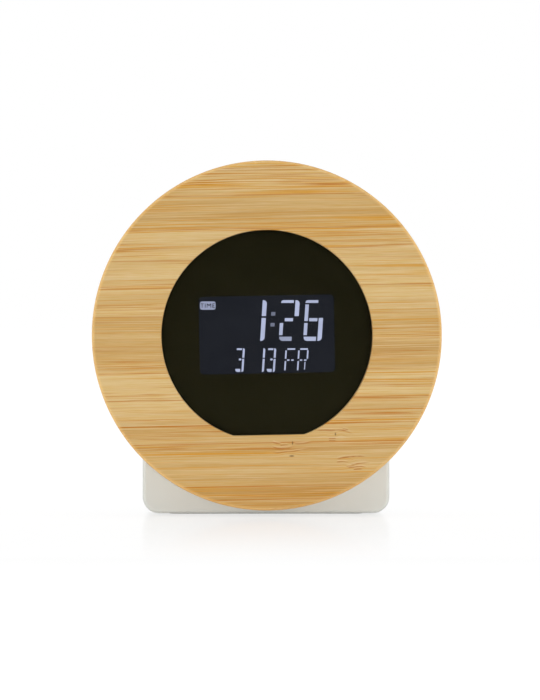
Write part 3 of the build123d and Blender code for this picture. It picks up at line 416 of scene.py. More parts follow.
print("fibres counted from a front at", round(FRONT_DEPTH, 2), "mm")

# %% [markdown]
# ## The whole board
# Now the layers come together. The cut ends of the strips show pores, which a mask finds by the direction
# that the surface faces, and a painted highlight makes the rounded front edge of the disc paler. The finest
# fibres tint the colour, change the gloss and raise a slight relief. One noise serves all three, so that
# they agree under any light.

# %% Bamboo material
SEAM_WANDER = 0.3
FIBRE_SIZES = (6.0, 0.4, 0.20)
FIBRE_RELIEF = (0.12, 0.05)
# How far a fibre's shade swings red, green and blue
FIBRE_SWING = (0.032, 0.055, 0.20)
BAMBOO_ROUGHNESS = (0.42, 0.58)
BAMBOO_GLOSS = 0.35
# How far a surface faces along the fibres where the end grain sets in and where it is full
END_GRAIN = (0.45, 0.95)
# Painted highlight: a paler colour on the rounded front edge of the disc, where it would catch the light
RIM_HIGHLIGHT_COLOUR = colour(248, 202, 130)
RIM_WIDTH = 1.2
RIM_DEPTHS = (0.3, 1.3)
RIM_HIGHLIGHT_SHARE = 0.55


def rim_highlight_mask(w, axes):
    """How much of the painted highlight shows, on the rounded front edge of the disc alone."""
    along, depth, height = axes
    near, far = (FRONT_DEPTH + reach for reach in RIM_DEPTHS)
    out = w.stretch(w.length(along, height), BOARD_HALF - RIM_WIDTH, BOARD_HALF)
    return w.sum("MULTIPLY", out, w.stretch(depth, near, far, RIM_HIGHLIGHT_SHARE, 0.0))


def bamboo_material():
    """Laminated bamboo with its strips, fibres, knuckles, end grain and a painted highlight on the front edge."""
    material, w, shader = new_material("bamboo")
    board = w.place((0, 0, AXIS_Z), -FACE_TURN)
    axes = w.split(board)
    wander, swirl = layer(w, "wander", board), layer(w, "swirl", board)
    level = w.sum("ADD", axes[2], w.sum("MULTIPLY", wander, SEAM_WANDER))
    tone = strip_tone(w, level)
    bent = bent_board(w, axes, tone, wander, swirl)
    base = w.mix(seam_lines(w, board, level), fibre_colours(w, bent, tone), DEEP_LINE)
    base = knuckle_colours(w, base, board, axes, swirl)

    facing = w.split(w.add("ShaderNodeTexCoord").outputs["Normal"])[0]
    end_grain = w.stretch(w.sum("ABSOLUTE", facing), *END_GRAIN)
    base = w.mix(w.sum("MULTIPLY", layer(w, "pores", board), end_grain), base, DEEP_LINE)
    fibre = w.noise(bent, FIBRE_SIZES, roughness=0.6)
    swing = w.stretch(fibre, *NOISE_SPAN, -1.0, 1.0)
    shades = [w.sum("ADD", w.sum("MULTIPLY", swing, share), 1.0) for share in FIBRE_SWING]
    base = w.mix(1.0, base, w.join(*shades), "MULTIPLY")
    # The painted highlight on the front edge
    base = w.mix(rim_highlight_mask(w, axes), base, RIM_HIGHLIGHT_COLOUR)
    link(w, shader, Base_Color=base, Roughness=w.stretch(fibre, *NOISE_REACH, *BAMBOO_ROUGHNESS),
         Normal=w.relief(fibre, *FIBRE_RELIEF), Specular_IOR_Level=BAMBOO_GLOSS)
    return material


bamboo = bamboo_material()
print("bamboo nodes", len(bamboo.node_tree.nodes))

# %% [markdown]
# ## Moulded plastic
# The base is off-white plastic with a fine satin texture, as a spark-eroded mould leaves it. Two effects
# come back in every plastic here, a faint cloudiness of the colour and that fine grain, so they are one
# shader node group with named inputs. Edges get a touch lighter, a painted highlight; the Bevel node
# finds them by looking for places where the surface turns within a short distance.

# %% Moulded finish group
# Inputs of the group in mm, and their usual values
MOULDED_INPUTS = (("Cloud Size", 14.0), ("Grain Size", 0.22), ("Edge Reach", 0.35))
NOISE_ROUGHNESS = 0.55
# How alike the rounded and the plain normal are on a full edge and on flat ground
EDGE_LIKENESS = (0.72, 0.98)
GRAIN_DEPTH = 0.05
GRAIN_GLOSS_SWING = 0.06


def moulded_group():
    """Node group: cloudiness, grain height, and the edges of a moulded surface for its painted highlight."""
    group = bpy.data.node_groups.new("moulded_finish", "ShaderNodeTree")
    for name, default in MOULDED_INPUTS:
        socket = group.interface.new_socket(name=name, in_out="INPUT", socket_type="NodeSocketFloat")
        socket.default_value = default
    for name in ("Cloud", "Grain", "Edge"):
        group.interface.new_socket(name=name, in_out="OUTPUT", socket_type="NodeSocketFloat")
    w = Wiring(group)
    given = w.add("NodeGroupInput").outputs
    place = w.place()
    results = {}
    for name, size, detail in (("Cloud", "Cloud Size", 3.0), ("Grain", "Grain Size", 1.0)):
        scale = w.sum("DIVIDE", 1.0, given[size])
        inputs = {"Vector": place, "Scale": scale, "Detail": detail, "Roughness": NOISE_ROUGHNESS}
        results[name] = w.add("ShaderNodeTexNoise", inputs).outputs[0]
    turned = w.add("ShaderNodeBevel", {"Radius": w.sum("MULTIPLY", given["Edge Reach"], MM)}).outputs[0]
    flat = w.add("ShaderNodeNewGeometry").outputs["Normal"]
    same = w.add("ShaderNodeVectorMath", {0: turned, 1: flat}, operation="DOT_PRODUCT").outputs["Value"]
    results["Edge"] = w.stretch(same, *EDGE_LIKENESS, 1.0, 0.0)
    w.add("NodeGroupOutput", results)
    return group


MOULDED = moulded_group()


def moulded_material(name, tint, roughness, clouds=0.015, edge_highlight=0.06, grain=0.22, bump=0.10, gloss=0.5):
    """Plastic or rubber: clouds and painted edge highlight as shares, grain in mm, gloss as the shader's specular
    level.
    """
    material, w, shader = new_material(name)
    finish = w.add("ShaderNodeGroup", node_tree=MOULDED)
    finish.inputs["Grain Size"].default_value = grain
    cloud, grain_height, edge = finish.outputs
    shade = w.stretch(cloud, *NOISE_SPAN, 1 - clouds, 1 + clouds)
    base = w.mix(1.0, tint, w.join(shade, shade, shade), "MULTIPLY")
    # Painted highlight: the edges found by the Bevel node are mixed towards white
    base = w.mix(w.sum("MULTIPLY", edge, edge_highlight), base, WHITE)
    dull, shiny = roughness + GRAIN_GLOSS_SWING, roughness - GRAIN_GLOSS_SWING
    link(w, shader, Base_Color=base, Roughness=w.stretch(grain_height, *NOISE_REACH, shiny, dull),
         Normal=w.relief(grain_height, bump, GRAIN_DEPTH), Specular_IOR_Level=gloss)
    return material


white_plastic = moulded_material("white_plastic", colour(219, 221, 216), 0.50)
grey_plastic = moulded_material("grey_plastic", colour(158, 156, 150), 0.48)
black_plastic = moulded_material("black_plastic", colour(24, 24, 23), 0.55)
print("plastics made with group", MOULDED.name)

# %% [markdown]
# ## Plated metal
# Screws, springs and contacts are plated steel, and the quartz sits in a small metal can. Most of it shows
# only when the battery door is open or a piece is taken out, yet it gets the finish of the real thing. A
# plain metal shader looks like chrome, so fine scratches change its roughness and a slow stain dulls its
# colour.

# %% Plated metal
SCRATCH_SIZES = (2.4, 0.10, 0.16)
SCRATCH_RELIEF = (0.08, 0.02)
SCRATCH_CHANGES = (-0.10, 0.12)
STAIN_SIZES = (3.0, 3.0, 3.0)
STAIN_SPAN = (0.35, 0.75)
STAIN_SHADE = 0.72


def plated_material(name, tint, roughness):
    """Bright plated metal with fine scratches."""
    material, w, shader = new_material(name)
    place = w.place()
    scratch = w.noise(place, SCRATCH_SIZES, detail=3.0, roughness=0.6)
    bright, dull = (roughness + change for change in SCRATCH_CHANGES)
    stain = w.stretch(w.noise(place, STAIN_SIZES), *STAIN_SPAN)
    stained = tuple(STAIN_SHADE * part for part in tint[:3]) + (1.0,)
    link(w, shader, Base_Color=w.mix(stain, tint, stained), Metallic=1.0,
         Roughness=w.stretch(scratch, *NOISE_SPAN, bright, dull),
         Normal=w.relief(scratch, *SCRATCH_RELIEF))
    return material


steel = plated_material("steel", colour(186, 186, 182), 0.32)
contact = plated_material("contact", colour(204, 202, 192), 0.24)
can = plated_material("can", colour(200, 198, 190), 0.30)
print("metals", [metal.name for metal in (steel, contact, can)])

# %% [markdown]
# ## Boards and felt
# A circuit board has copper tracks under green lacquer. Drawing real tracks would be long work for
# something that hardly shows, so a noise added to a square grid is cut into even steps, which gives a maze
# with straight runs. The ring between the head and the base is black felt, a matte tangle of fibres: fine
# rough noise with a sheen.

# %% Boards and felt
TRACK_GRID = 0.55
TRACK_SIZES = (6.0, 6.0, 6.0)
TRACK_STEPS = 9.0
TRACK_EDGE = (0.40, 0.52)
TRACK_TINTS = (colour(18, 78, 42), colour(38, 112, 62))
TRACK_ROUGHNESS = (0.30, 0.40)
TRACK_RELIEF = (0.15, 0.03)
FELT_SIZES = (0.35, 0.35, 0.35)
FELT_TINTS = (colour(40, 40, 40), colour(78, 77, 75))
FELT_ROUGHNESS = (0.85, 1.0)
FELT_RELIEF = (0.6, 0.1)
FELT_SHEEN = 0.3


def board_material():
    """Green lacquer over a maze of copper tracks."""
    material, w, shader = new_material("circuit_board")
    place = w.place()
    inputs = {"Vector": place, "Scale": TRACK_GRID, "Randomness": 0.0}
    squares = w.add("ShaderNodeTexVoronoi", inputs, feature="F1", distance="CHEBYCHEV").outputs["Distance"]
    maze = w.sum("ADD", w.noise(place, TRACK_SIZES, detail=0.0), squares)
    track = w.stretch(w.sum("FRACT", w.sum("MULTIPLY", maze, TRACK_STEPS)), *TRACK_EDGE)
    link(w, shader, Base_Color=w.mix(track, *TRACK_TINTS),
         Roughness=w.stretch(track, 0.0, 1.0, *TRACK_ROUGHNESS), Normal=w.relief(track, *TRACK_RELIEF))
    return material


def felt_material():
    """Pressed black felt, a matte tangle of fibres."""
    material, w, shader = new_material("felt")
    tangle = w.noise(w.place(), FELT_SIZES, detail=6.0, roughness=0.75)
    link(w, shader, Base_Color=w.mix(w.stretch(tangle, *NOISE_CORE), *FELT_TINTS),
         Roughness=w.stretch(tangle, *NOISE_REACH, *FELT_ROUGHNESS),
         Normal=w.relief(tangle, *FELT_RELIEF), Sheen_Weight=FELT_SHEEN)
    return material


circuit_board = board_material()
felt = felt_material()
print("board nodes", len(circuit_board.node_tree.nodes), "felt nodes", len(felt.node_tree.nodes))

# %% [markdown]
# ## The cells
# Two small cells lie head to tail behind the door. A real jacket is printed metal: here a dark green body,
# a pale band at the plus end and bare steel at both tips. A map would need unwrapping; a position along the
# cell is enough, because every colour ends in a straight ring. The lower cell is turned round, so the side
# of the middle on which a point lies says which way its plus end looks. The spring takes room at the minus
# end, so the plus end is the one that lies further from the middle.

# %% Cell jacket
PLUS_TIP = 1.5
MINUS_TIP = 0.7
BAND_LENGTH = 9.0
PRINT_EDGE = 0.1
PRINT_SIZES = (0.5, 0.5, 0.5)
JACKET_TINTS = (colour(36, 60, 54), colour(44, 70, 62))
JACKET_METAL = 0.55
JACKET_ROUGHNESS = (0.26, 0.36)
BAND_TINT = colour(196, 201, 192)
TIP_TINT = colour(190, 189, 184)


def cell_material():
    """Plain printed jacket with a band at the plus end and steel tips."""
    material, w, shader = new_material("cell_jacket")
    low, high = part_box("battery_cells")
    middle = (low + high) / 2
    corners = frame["nodes"]["battery_cells"].data.vertices
    upper = [(corner.co.x - middle.x) / MM for corner in corners if corner.co.z > middle.z]
    plus, minus = sorted((min(upper), max(upper)), key=abs, reverse=True)
    side = math.copysign(1.0, plus)
    place = w.place(tuple(middle))
    along, depth, height = w.split(place)
    toward_plus = w.sum("MULTIPLY", along, w.sum("MULTIPLY", w.sum("SIGN", height), side))

    def beyond(start):
        """1 on the plus side of a ring at a place along the cell."""
        return w.stretch(toward_plus, start - PRINT_EDGE, start + PRINT_EDGE)

    plus_start, minus_end = side * plus - PLUS_TIP, side * minus + MINUS_TIP
    tips = w.sum("MAXIMUM", beyond(plus_start), w.sum("SUBTRACT", 1.0, beyond(minus_end)))
    grain = w.noise(place, PRINT_SIZES, detail=3.0)
    body = w.mix(w.stretch(grain, *NOISE_CORE), *JACKET_TINTS)
    base = w.mix(beyond(plus_start - BAND_LENGTH), body, BAND_TINT)
    link(w, shader, Base_Color=w.mix(tips, base, TIP_TINT),
         Metallic=w.stretch(tips, 0.0, 1.0, JACKET_METAL, 1.0),
         Roughness=w.stretch(grain, *NOISE_REACH, *JACKET_ROUGHNESS))
    return material


cell_jacket = cell_material()
print("cell jacket nodes", len(cell_jacket.node_tree.nodes))

# %% [markdown]
# ## The display
# Behind the dark window sits a negative liquid-crystal panel: the whole sheet is dark blue and only the
# driven segments let the backlight through. In front of it lie a black printed mask with a rectangular
# opening and a flat acrylic lens. Glass that really lets the light pass, as on the object, keeps the depth
# of the display when the clock is seen from the side. Acrylic bends light by 1.49, but a lens over a
# display is coated against reflections; a lower number stands for that coat.

# %% Lens, mask and panel
COATED_INDEX = 1.30
SMUDGE_SIZES = (9.0, 9.0, 6.0)
SMUDGE_SPAN = (0.35, 0.75)
LENS_TINTS = (colour(236, 234, 226), colour(230, 228, 219))
LENS_ROUGHNESS = (0.02, 0.06)
BLEED_SIZES = (16.0, 16.0, 9.0)
BLEED_TINTS = (colour(33, 36, 45), colour(36, 39, 48))
FILM_TINTS = (colour(4, 4, 6), colour(6, 6, 9))
HAZE_SIZES = (6.0, 6.0, 6.0)
PANEL_TINTS = (colour(30, 34, 44), colour(40, 46, 58))
PANEL_ROUGHNESS = (0.05, 0.12)


def lens_material():
    """Clear coated acrylic, lightly smoked, with a trace of smudges on its polish."""
    material, w, shader = new_material("lens")
    smudge = w.noise(w.place(), SMUDGE_SIZES, detail=4.0, roughness=0.6)
    link(w, shader, Base_Color=w.mix(w.stretch(smudge, *NOISE_CORE), *LENS_TINTS),
         Roughness=w.stretch(smudge, *SMUDGE_SPAN, *LENS_ROUGHNESS),
         IOR=COATED_INDEX, Transmission_Weight=1.0)
    return material


def film_material():
    """Dark polarising film with the backlight bleeding through evenly."""
    material, w, shader = new_material("film")
    bleed = w.noise(w.place(), BLEED_SIZES)
    link(w, shader, Base_Color=w.mix(bleed, *FILM_TINTS), Roughness=0.45, Specular_IOR_Level=0.1,
         Emission_Color=w.mix(w.stretch(bleed, *NOISE_CORE), *BLEED_TINTS), Emission_Strength=1.0)
    return material


def panel_material():
    """Panel glass with its dark cell."""
    material, w, shader = new_material("panel_glass")
    haze = w.noise(w.place(), HAZE_SIZES)
    link(w, shader, Base_Color=w.mix(haze, *PANEL_TINTS),
         Roughness=w.stretch(haze, *NOISE_CORE, *PANEL_ROUGHNESS))
    return material


lens = lens_material()
film = film_material()
panel_glass = panel_material()
mask = moulded_material("mask", colour(58, 56, 38), 0.70, clouds=0.02, edge_highlight=0.0, bump=0.02, gloss=0.1)
print("display materials", [material.name for material in (lens, film, panel_glass, mask)])

# %% [markdown]
# ## A finish for every slot
# The record gives every solid a material slot. One table joins each slot to a finish; the few that remain
# are moulded rubbers and plastics, made from the same function with their own colour, gloss and grain.

# %% Finishes by slot
FINISHES = {
    "bamboo": bamboo, "lens": lens, "mask": mask, "black_plastic": black_plastic,
    "white_plastic": white_plastic, "grey_plastic": grey_plastic, "panel_glass": panel_glass, "film": film,
    "circuit_board": circuit_board, "steel": steel, "contact": contact, "can": can, "felt": felt,
    "cell_jacket": cell_jacket,
    "guide": moulded_material("guide", colour(226, 232, 238), 0.16, grain=0.6),
    "reflector": moulded_material("reflector", colour(238, 238, 236), 0.40),
    "led": moulded_material("led", colour(236, 230, 176), 0.25),
    "zebra": moulded_material("zebra", colour(150, 88, 92), 0.70, grain=0.12, bump=0.3),
    "chip": moulded_material("chip", colour(20, 20, 21), 0.30),
    "connector": moulded_material("connector", colour(226, 220, 204), 0.42),
    "nylon": moulded_material("nylon", colour(216, 212, 200), 0.45),
    "pad": moulded_material("pad", colour(190, 189, 182), 0.85, grain=0.5, bump=0.5),
    "lead": moulded_material("lead", colour(150, 34, 32), 0.50),
    "bundle": moulded_material("bundle", colour(72, 72, 74), 0.60),
}
for part in frame["record"]["subparts"]:
    solid = frame["nodes"][part["node"]]
    solid.data.materials.clear()
    solid.data.materials.append(FINISHES[part["material_slot"]])

# %% [markdown]
# ## A copy of a solid
# A solid arrives as loose triangles and is never changed. Where the looks need a slightly different shape,
# a copy is welded and takes the solid's place. Here that is the printed mask: it touches the back of the
# lens, and two faces in the same place confuse the light, so the copy's front is set back by a hair.

# %% Printed mask
MASK_GAP = 0.04 * MM
WELD = 0.001 * MM


def welded_copy(node):
    """A solid's mesh with its loose triangles joined."""
    solid = frame["nodes"][node]
    mesh = solid.data.copy()
    mesh.transform(solid.matrix_world)
    shape = bmesh.new()
    shape.from_mesh(mesh)
    bmesh.ops.remove_doubles(shape, verts=shape.verts, dist=WELD)
    shape.to_mesh(mesh)
    shape.free()
    return mesh


def add_piece(name, mesh, body, slot, *nodes):
    """Put a mesh in the scene as a piece of a body, in place of the named solids."""
    piece = bpy.data.objects.new(name, mesh)
    bpy.context.collection.objects.link(piece)
    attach(piece, body)
    if nodes:
        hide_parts(*nodes)
    return piece


mask_mesh = welded_copy("window_mask")
mask_front = min(vertex.co.y for vertex in mask_mesh.vertices)
for vertex in mask_mesh.vertices:
    if vertex.co.y < mask_front + MASK_GAP / 2:
        vertex.co.y += MASK_GAP
add_piece("mask_print", mask_mesh, "head", "mask", "window_mask")
print("mask front set back to", round((mask_front + MASK_GAP) / MM, 3), "mm")

# %% [markdown]
# ## Flat marks with a little thickness
# The segments of the display and the small signs beside the buttons are flat shapes, a few hundredths of a
# millimetre thick. Each is drawn as an outline. A Geometry Nodes tree then raises all outlines of a piece
# by one thickness, closes their backs and gives them their material, so a change of the thickness is one
# number.

# %% Raise flat outlines
def raised_tree():
    """Geometry Nodes: flat faces raised to closed plates."""
    tree = bpy.data.node_groups.new("raised_marks", "GeometryNodeTree")
    for name, kind in (("Geometry", "Geometry"), ("Thickness", "Float"), ("Material", "Material")):
        tree.interface.new_socket(name=name, in_out="INPUT", socket_type="NodeSocket" + kind)
    tree.interface.new_socket(name="Geometry", in_out="OUTPUT", socket_type="NodeSocketGeometry")
    w = Wiring(tree)
    given = w.add("NodeGroupInput").outputs
    flat = w.add("GeometryNodeMergeByDistance", {"Geometry": given["Geometry"], "Distance": WELD}).outputs[0]
    inputs = {"Mesh": flat, "Offset Scale": given["Thickness"], "Individual": False}
    raised = w.add("GeometryNodeExtrudeMesh", inputs, mode="FACES")
    backs = w.add("GeometryNodeFlipFaces", {"Mesh": flat})
    joined = w.add("GeometryNodeJoinGeometry", {0: raised.outputs["Mesh"]})
    tree.links.new(backs.outputs[0], joined.inputs[0])
    closed = w.add("GeometryNodeMergeByDistance", {"Geometry": joined.outputs[0], "Distance": WELD})
    plain = w.add("GeometryNodeRealizeInstances", {"Geometry": closed.outputs[0]})
    inputs = {"Geometry": plain.outputs[0], "Material": given["Material"]}
    w.add("NodeGroupOutput", {"Geometry": w.add("GeometryNodeSetMaterial", inputs).outputs[0]})
    return tree


RAISED = raised_tree()


def raise_marks(name, mesh, body, slot, thickness, material):
    """Run the tree on flat outlines and keep the plain result as a piece of a body."""
    seed = bpy.data.objects.new(name + "_seed", mesh)
    bpy.context.collection.objects.link(seed)
    modifier = seed.modifiers.new(RAISED.name, "NODES")
    modifier.node_group = RAISED
    values = {"Thickness": thickness, "Material": material}
    for item in RAISED.interface.items_tree:
        if item.in_out == "INPUT" and item.name in values:
            modifier[item.identifier] = values[item.name]
    depsgraph = bpy.context.evaluated_depsgraph_get()
    grown = bpy.data.meshes.new_from_object(seed.evaluated_get(depsgraph), depsgraph=depsgraph)
    bpy.data.objects.remove(seed)
    grown.name = name
    return add_piece(name, grown, body, slot)


print("tree", RAISED.name, "with", len(RAISED.nodes), "nodes")

# %% [markdown]
# ## Drawing an outline
# Most marks on a clock panel are bars, often with one round corner, so one function draws them all. A
# second one turns a list of outlines into flat faces. They are written in millimetres from the middle of
# the face, because the panel turns with it, and each face can carry a brightness for the material to read.

# %% Outlines
def rounded_bar(left, right, low, high, corner="", radius=0.0, steps=5):
    """Outline of a bar, anticlockwise, with one named corner rounded, or all of them."""
    outline = []
    corners = (
        ("low_left", left, low), ("low_right", right, low),
        ("top_right", right, high), ("top_left", left, high))
    for turn, (name, x, z) in enumerate(corners):
        if corner not in (name, "all"):
            outline.append((x, z))
            continue
        middle_x = x + radius if x == left else x - radius
        middle_z = z + radius if z == low else z - radius
        for step in range(steps + 1):
            angle = math.pi + (turn + step / steps) * math.pi / 2
            outline.append((middle_x + radius * math.cos(angle), middle_z + radius * math.sin(angle)))
    return outline


def flat_mesh(name, outlines, depth, glows=None, rear=False):
    """Flat faces, in mm from the middle of the face, that look forward, or back when rear is set."""
    side = -1 if rear else 1
    vertices, faces = [], []
    for outline in outlines:
        faces.append(range(len(vertices), len(vertices) + len(outline)))
        vertices.extend((side * x * MM, depth, AXIS_Z + z * MM) for x, z in outline)
    mesh = bpy.data.meshes.new(name)
    mesh.from_pydata(vertices, [], [tuple(face) for face in faces])
    brightness = mesh.attributes.new("glow", "FLOAT", "FACE")
    for index in range(len(faces)):
        brightness.data[index].value = glows[index] if glows else 1.0
    return mesh


print("outline of one bar has", len(rounded_bar(0, 1, 0, 1, "top_left", 0.3)), "corners")

# %% [markdown]
# ## The glowing segments
# A clock panel draws its figures with fixed bars. Some bars have a rounded outer corner, and gaps keep them
# apart. The large row shows the hours and minutes, the small row the month, the day and the weekday. A list
# of every bar in the panel would be long and hard to change, so the bars of a figure are written once, as
# shares of its cell, and every figure picks the bars it lights.

# %% Bars of the figures
# One cell's bars: left, right, top and bottom edge as shares of the cell, and the rounded corner
TIME_BARS = {
    "a": (0.00, 0.685, 0.000, 0.068, "top_left"), "b": (0.77, 1.00, 0.000, 0.390, "top_right"),
    "c": (0.77, 1.00, 0.437, 1.000, "low_right"), "d": (0.02, 0.69, 0.897, 1.000, "low_left"),
    "e": (0.00, 0.185, 0.561, 0.859, ""), "f": (0.00, 0.19, 0.106, 0.513, ""),
    "g": (0.255, 0.70, 0.441, 0.518, "")}
DATE_BARS = {
    "a": (0.02, 0.65, 0.000, 0.075, ""), "b": (0.756, 1.00, 0.000, 0.400, "top_right"),
    "c": (0.756, 1.00, 0.447, 1.000, "low_right"), "d": (0.00, 0.60, 0.870, 1.000, "low_left"),
    "g": (0.34, 0.66, 0.430, 0.515, "all")}
LETTER_BARS = {
    "a": (0.19, 0.93, 0.000, 0.070, ""), "b": (0.86, 1.00, 0.090, 0.470, ""),
    "f": (0.00, 0.145, 0.100, 0.470, ""), "e": (0.00, 0.145, 0.575, 0.990, ""),
    "h": (0.22, 0.45, 0.500, 0.565, ""), "i": (0.62, 0.86, 0.500, 0.565, ""),
    "k": (0.68, 0.77, 0.610, 0.955, "")}
FIGURES = {"1": "bc", "2": "abged", "3": "abgcd", "6": "afgedc", "F": "afehi", "R": "afehibk"}
# Rows: bars, cell width and height, height of the row's top, and each cell's left edge and figure, in mm
ROWS = (
    (TIME_BARS, 5.30, 11.65, 10.11, ((-5.62, "1"), (3.76, "2"), (10.74, "6"))),
    (DATE_BARS, 2.35, 6.78, -3.65, ((-8.84, "3"), (-2.98, "1"), (0.14, "3"))),
    (LETTER_BARS, 2.98, 6.36, -3.65, ((5.14, "F"), (8.80, "R"))))
print("figures", len(FIGURES), "in", sum(len(row[-1]) for row in ROWS), "cells")

# %% [markdown]
# ## Lit segments
# The bars lean like italic type, and two small dots make the colon. Some segments were caught dimmer than
# others in the photograph, so each carries its own brightness, which the material reads as an attribute.
# The light comes from behind, so the material is mostly emission.

# %% Display segments
COLON_X = 1.73
COLON_HEIGHTS = (6.20, 3.09)
COLON_SIZE = (1.17, 1.03)
COLON_ROUND = 0.08
SLANT = math.tan(math.radians(3.7))
# Radius of a rounded corner as a share of its bar's thickness, and the largest radius in mm
BAR_ROUND_SHARE = 0.85
DOT_ROUND_SHARE = 0.49
BAR_ROUND_LIMIT = 1.0
DIM_SEGMENT = ("2", "d")
DIM_BAR = 0.70
DIM_COLON = 0.38
SEGMENT_THICKNESS = 0.03 * MM
SEGMENT_GAP = 0.01 * MM
SEGMENT_CLOUD_SIZES = (5.0, 5.0, 5.0)
SEGMENT_CLOUDS = (0.94, 1.06)
SEGMENT_TINTS = (colour(30, 33, 42), colour(176, 186, 224))
SEGMENT_STRENGTH = 1.3


def lean(outline, middle):
    """Lean an outline like italic type about a height."""
    return [(x + SLANT * (z - middle), z) for x, z in outline]


def segment_outlines():
    """Outlines and brightness of every lit segment."""
    outlines, glows = [], []
    for bars, width, height, top, cells in ROWS:
        middle = top - height / 2
        for cell_left, figure in cells:
            for bar in FIGURES[figure]:
                left, right, high, low, corner = bars[bar]
                thick = min((right - left) * width, (low - high) * height)
                radius = thick * (DOT_ROUND_SHARE if corner == "all" else BAR_ROUND_SHARE)
                outline = rounded_bar(cell_left + left * width, cell_left + right * width,
                                      top - low * height, top - high * height,
                                      corner, min(radius, BAR_ROUND_LIMIT))
                outlines.append(lean(outline, middle))
                glows.append(DIM_BAR if (figure, bar) == DIM_SEGMENT else 1.0)
    half_x, half_z = (size / 2 for size in COLON_SIZE)
    for height in COLON_HEIGHTS:
        dot = rounded_bar(COLON_X - half_x, COLON_X + half_x, height - half_z, height + half_z,
                          "all", COLON_ROUND)
        outlines.append(lean(dot, sum(COLON_HEIGHTS) / 2))
        glows.append(DIM_COLON)
    return outlines, glows


def segment_material():
    """Backlight coming through an open segment; a faint unevenness keeps it from looking printed."""
    material, w, shader = new_material("segments")
    glow = w.add("ShaderNodeAttribute", attribute_name="glow").outputs["Fac"]
    cloud = w.stretch(w.noise(w.place(), SEGMENT_CLOUD_SIZES), *NOISE_CORE, *SEGMENT_CLOUDS)
    light = w.mix(1.0, w.mix(glow, *SEGMENT_TINTS), w.join(cloud, cloud, cloud), "MULTIPLY")
    link(w, shader, Base_Color=colour(8, 8, 10), Roughness=0.5, Specular_IOR_Level=0.1,
         Emission_Color=light, Emission_Strength=SEGMENT_STRENGTH)
    return material


segments = segment_material()
film_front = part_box("polariser_films")[0].y
outlines, glows = segment_outlines()
segment_mesh = flat_mesh("segments_flat", outlines, film_front - SEGMENT_GAP, glows)
lit_segments = raise_marks("lit_segments", segment_mesh, "head", "film", SEGMENT_THICKNESS, segments)
print("segments", len(outlines), "faces", len(lit_segments.data.polygons))

# %% [markdown]
# ## The mode badge
# In the corner of the panel a small lit plate carries the word for the mode the clock shows. It is a
# rounded plate like a segment, with the plain word in dark letters in front of it. A font would be quick,
# but its thin strokes drown at this size, so the four letters are drawn as outlines of even stroke.

# %% Mode badge
BADGE_LEFT, BADGE_RIGHT = -19.12, -14.66
BADGE_LOW, BADGE_HIGH = 7.38, 9.74
BADGE_ROUND = 0.62
BADGE_GLOW = 0.70
BADGE_WORD = "TIME"
WORD_HEIGHT = 1.22
WORD_STROKE = 0.19
WORD_GAP = 0.36
LETTER_WIDTHS = {"T": 0.86, "I": 0.19, "M": 1.24, "E": 0.72}
NOTCH_SHARE = 0.36


def letter_outline(letter, left, low):
    """Outline of one plain letter of even stroke, anticlockwise, in mm."""
    width, high, line = LETTER_WIDTHS[letter], WORD_HEIGHT, WORD_STROKE
    stem_left, stem_right = (width - line) / 2, (width + line) / 2
    under, inner = high - line, width - line
    middle, waist, notch = width / 2, (high + line) / 2, NOTCH_SHARE * high
    shapes = {
        "T": ((0, high), (0, under), (stem_left, under), (stem_left, 0),
              (stem_right, 0), (stem_right, under), (width, under), (width, high)),
        "I": ((0, 0), (width, 0), (width, high), (0, high)),
        "M": ((0, 0), (line, 0), (line, under - line), (middle, notch), (inner, under - line), (inner, 0),
              (width, 0), (width, high), (inner, high), (middle, notch + 2 * line), (line, high), (0, high)),
        "E": ((0, 0), (width, 0), (width, line), (line, line), (line, waist - line), (inner, waist - line),
              (inner, waist), (line, waist), (line, under), (width, under), (width, high), (0, high))}
    return [(left + x, low + z) for x, z in shapes[letter]]


def word_outlines(word, middle):
    """Outlines of a word about a middle point."""
    width = sum(LETTER_WIDTHS[letter] for letter in word) + WORD_GAP * (len(word) - 1)
    left, low = middle[0] - width / 2, middle[1] - WORD_HEIGHT / 2
    outlines = []
    for letter in word:
        outlines.append(letter_outline(letter, left, low))
        left += LETTER_WIDTHS[letter] + WORD_GAP
    return outlines


badge_outline = rounded_bar(BADGE_LEFT, BADGE_RIGHT, BADGE_LOW, BADGE_HIGH, "all", BADGE_ROUND)
badge_mesh = flat_mesh("badge_flat", [badge_outline], film_front - SEGMENT_GAP, [BADGE_GLOW])
raise_marks("mode_badge", badge_mesh, "head", "film", SEGMENT_THICKNESS, segments)
badge_middle = ((BADGE_LEFT + BADGE_RIGHT) / 2, (BADGE_LOW + BADGE_HIGH) / 2)
word_depth = film_front - SEGMENT_GAP - SEGMENT_THICKNESS
word_mesh = flat_mesh("word_flat", word_outlines(BADGE_WORD, badge_middle), word_depth)
mode_word = raise_marks("mode_word", word_mesh, "head", "film", SEGMENT_THICKNESS, film)
print("badge word faces", len(mode_word.data.polygons))

# %% [markdown]
# ## Signs on the back
# The back's buttons and switch carry small printed signs, as most clocks do: a dial for the mode, a tick
# for set, arrows for up and down, a bell for the alarm and the plain marks for on and off. A picture would
# do for print, but it would need a map on the cover. As outlines the signs stay sharp at any distance, and
# only strokes, rings and a bell are needed to draw them.

# %% Shapes of the signs
# The bell's half width in mm, and its forms as shares of that
BELL_SIZE = 1.2
DOME_REACH_SHARES = (0.62, 0.75)
DOME_RISE_SHARE = 0.25
SKIRT_DROP_SHARE = 0.72
CLAPPER_REACH_SHARES = (0.3, 0.3)
CLAPPER_DROP_SHARE = 0.85


def shifted(outline, middle):
    """An outline about zero moved to a middle point."""
    return [(middle[0] + x, middle[1] + z) for x, z in outline]


def stroke(start, end, width):
    """A straight stroke from one point to another."""
    along = (Vector(end) - Vector(start)).normalized() * width / 2
    side = Vector((-along.y, along.x))
    corners = ((start, 1), (start, -1), (end, -1), (end, 1))
    return [tuple(Vector(point) + way * side) for point, way in corners]


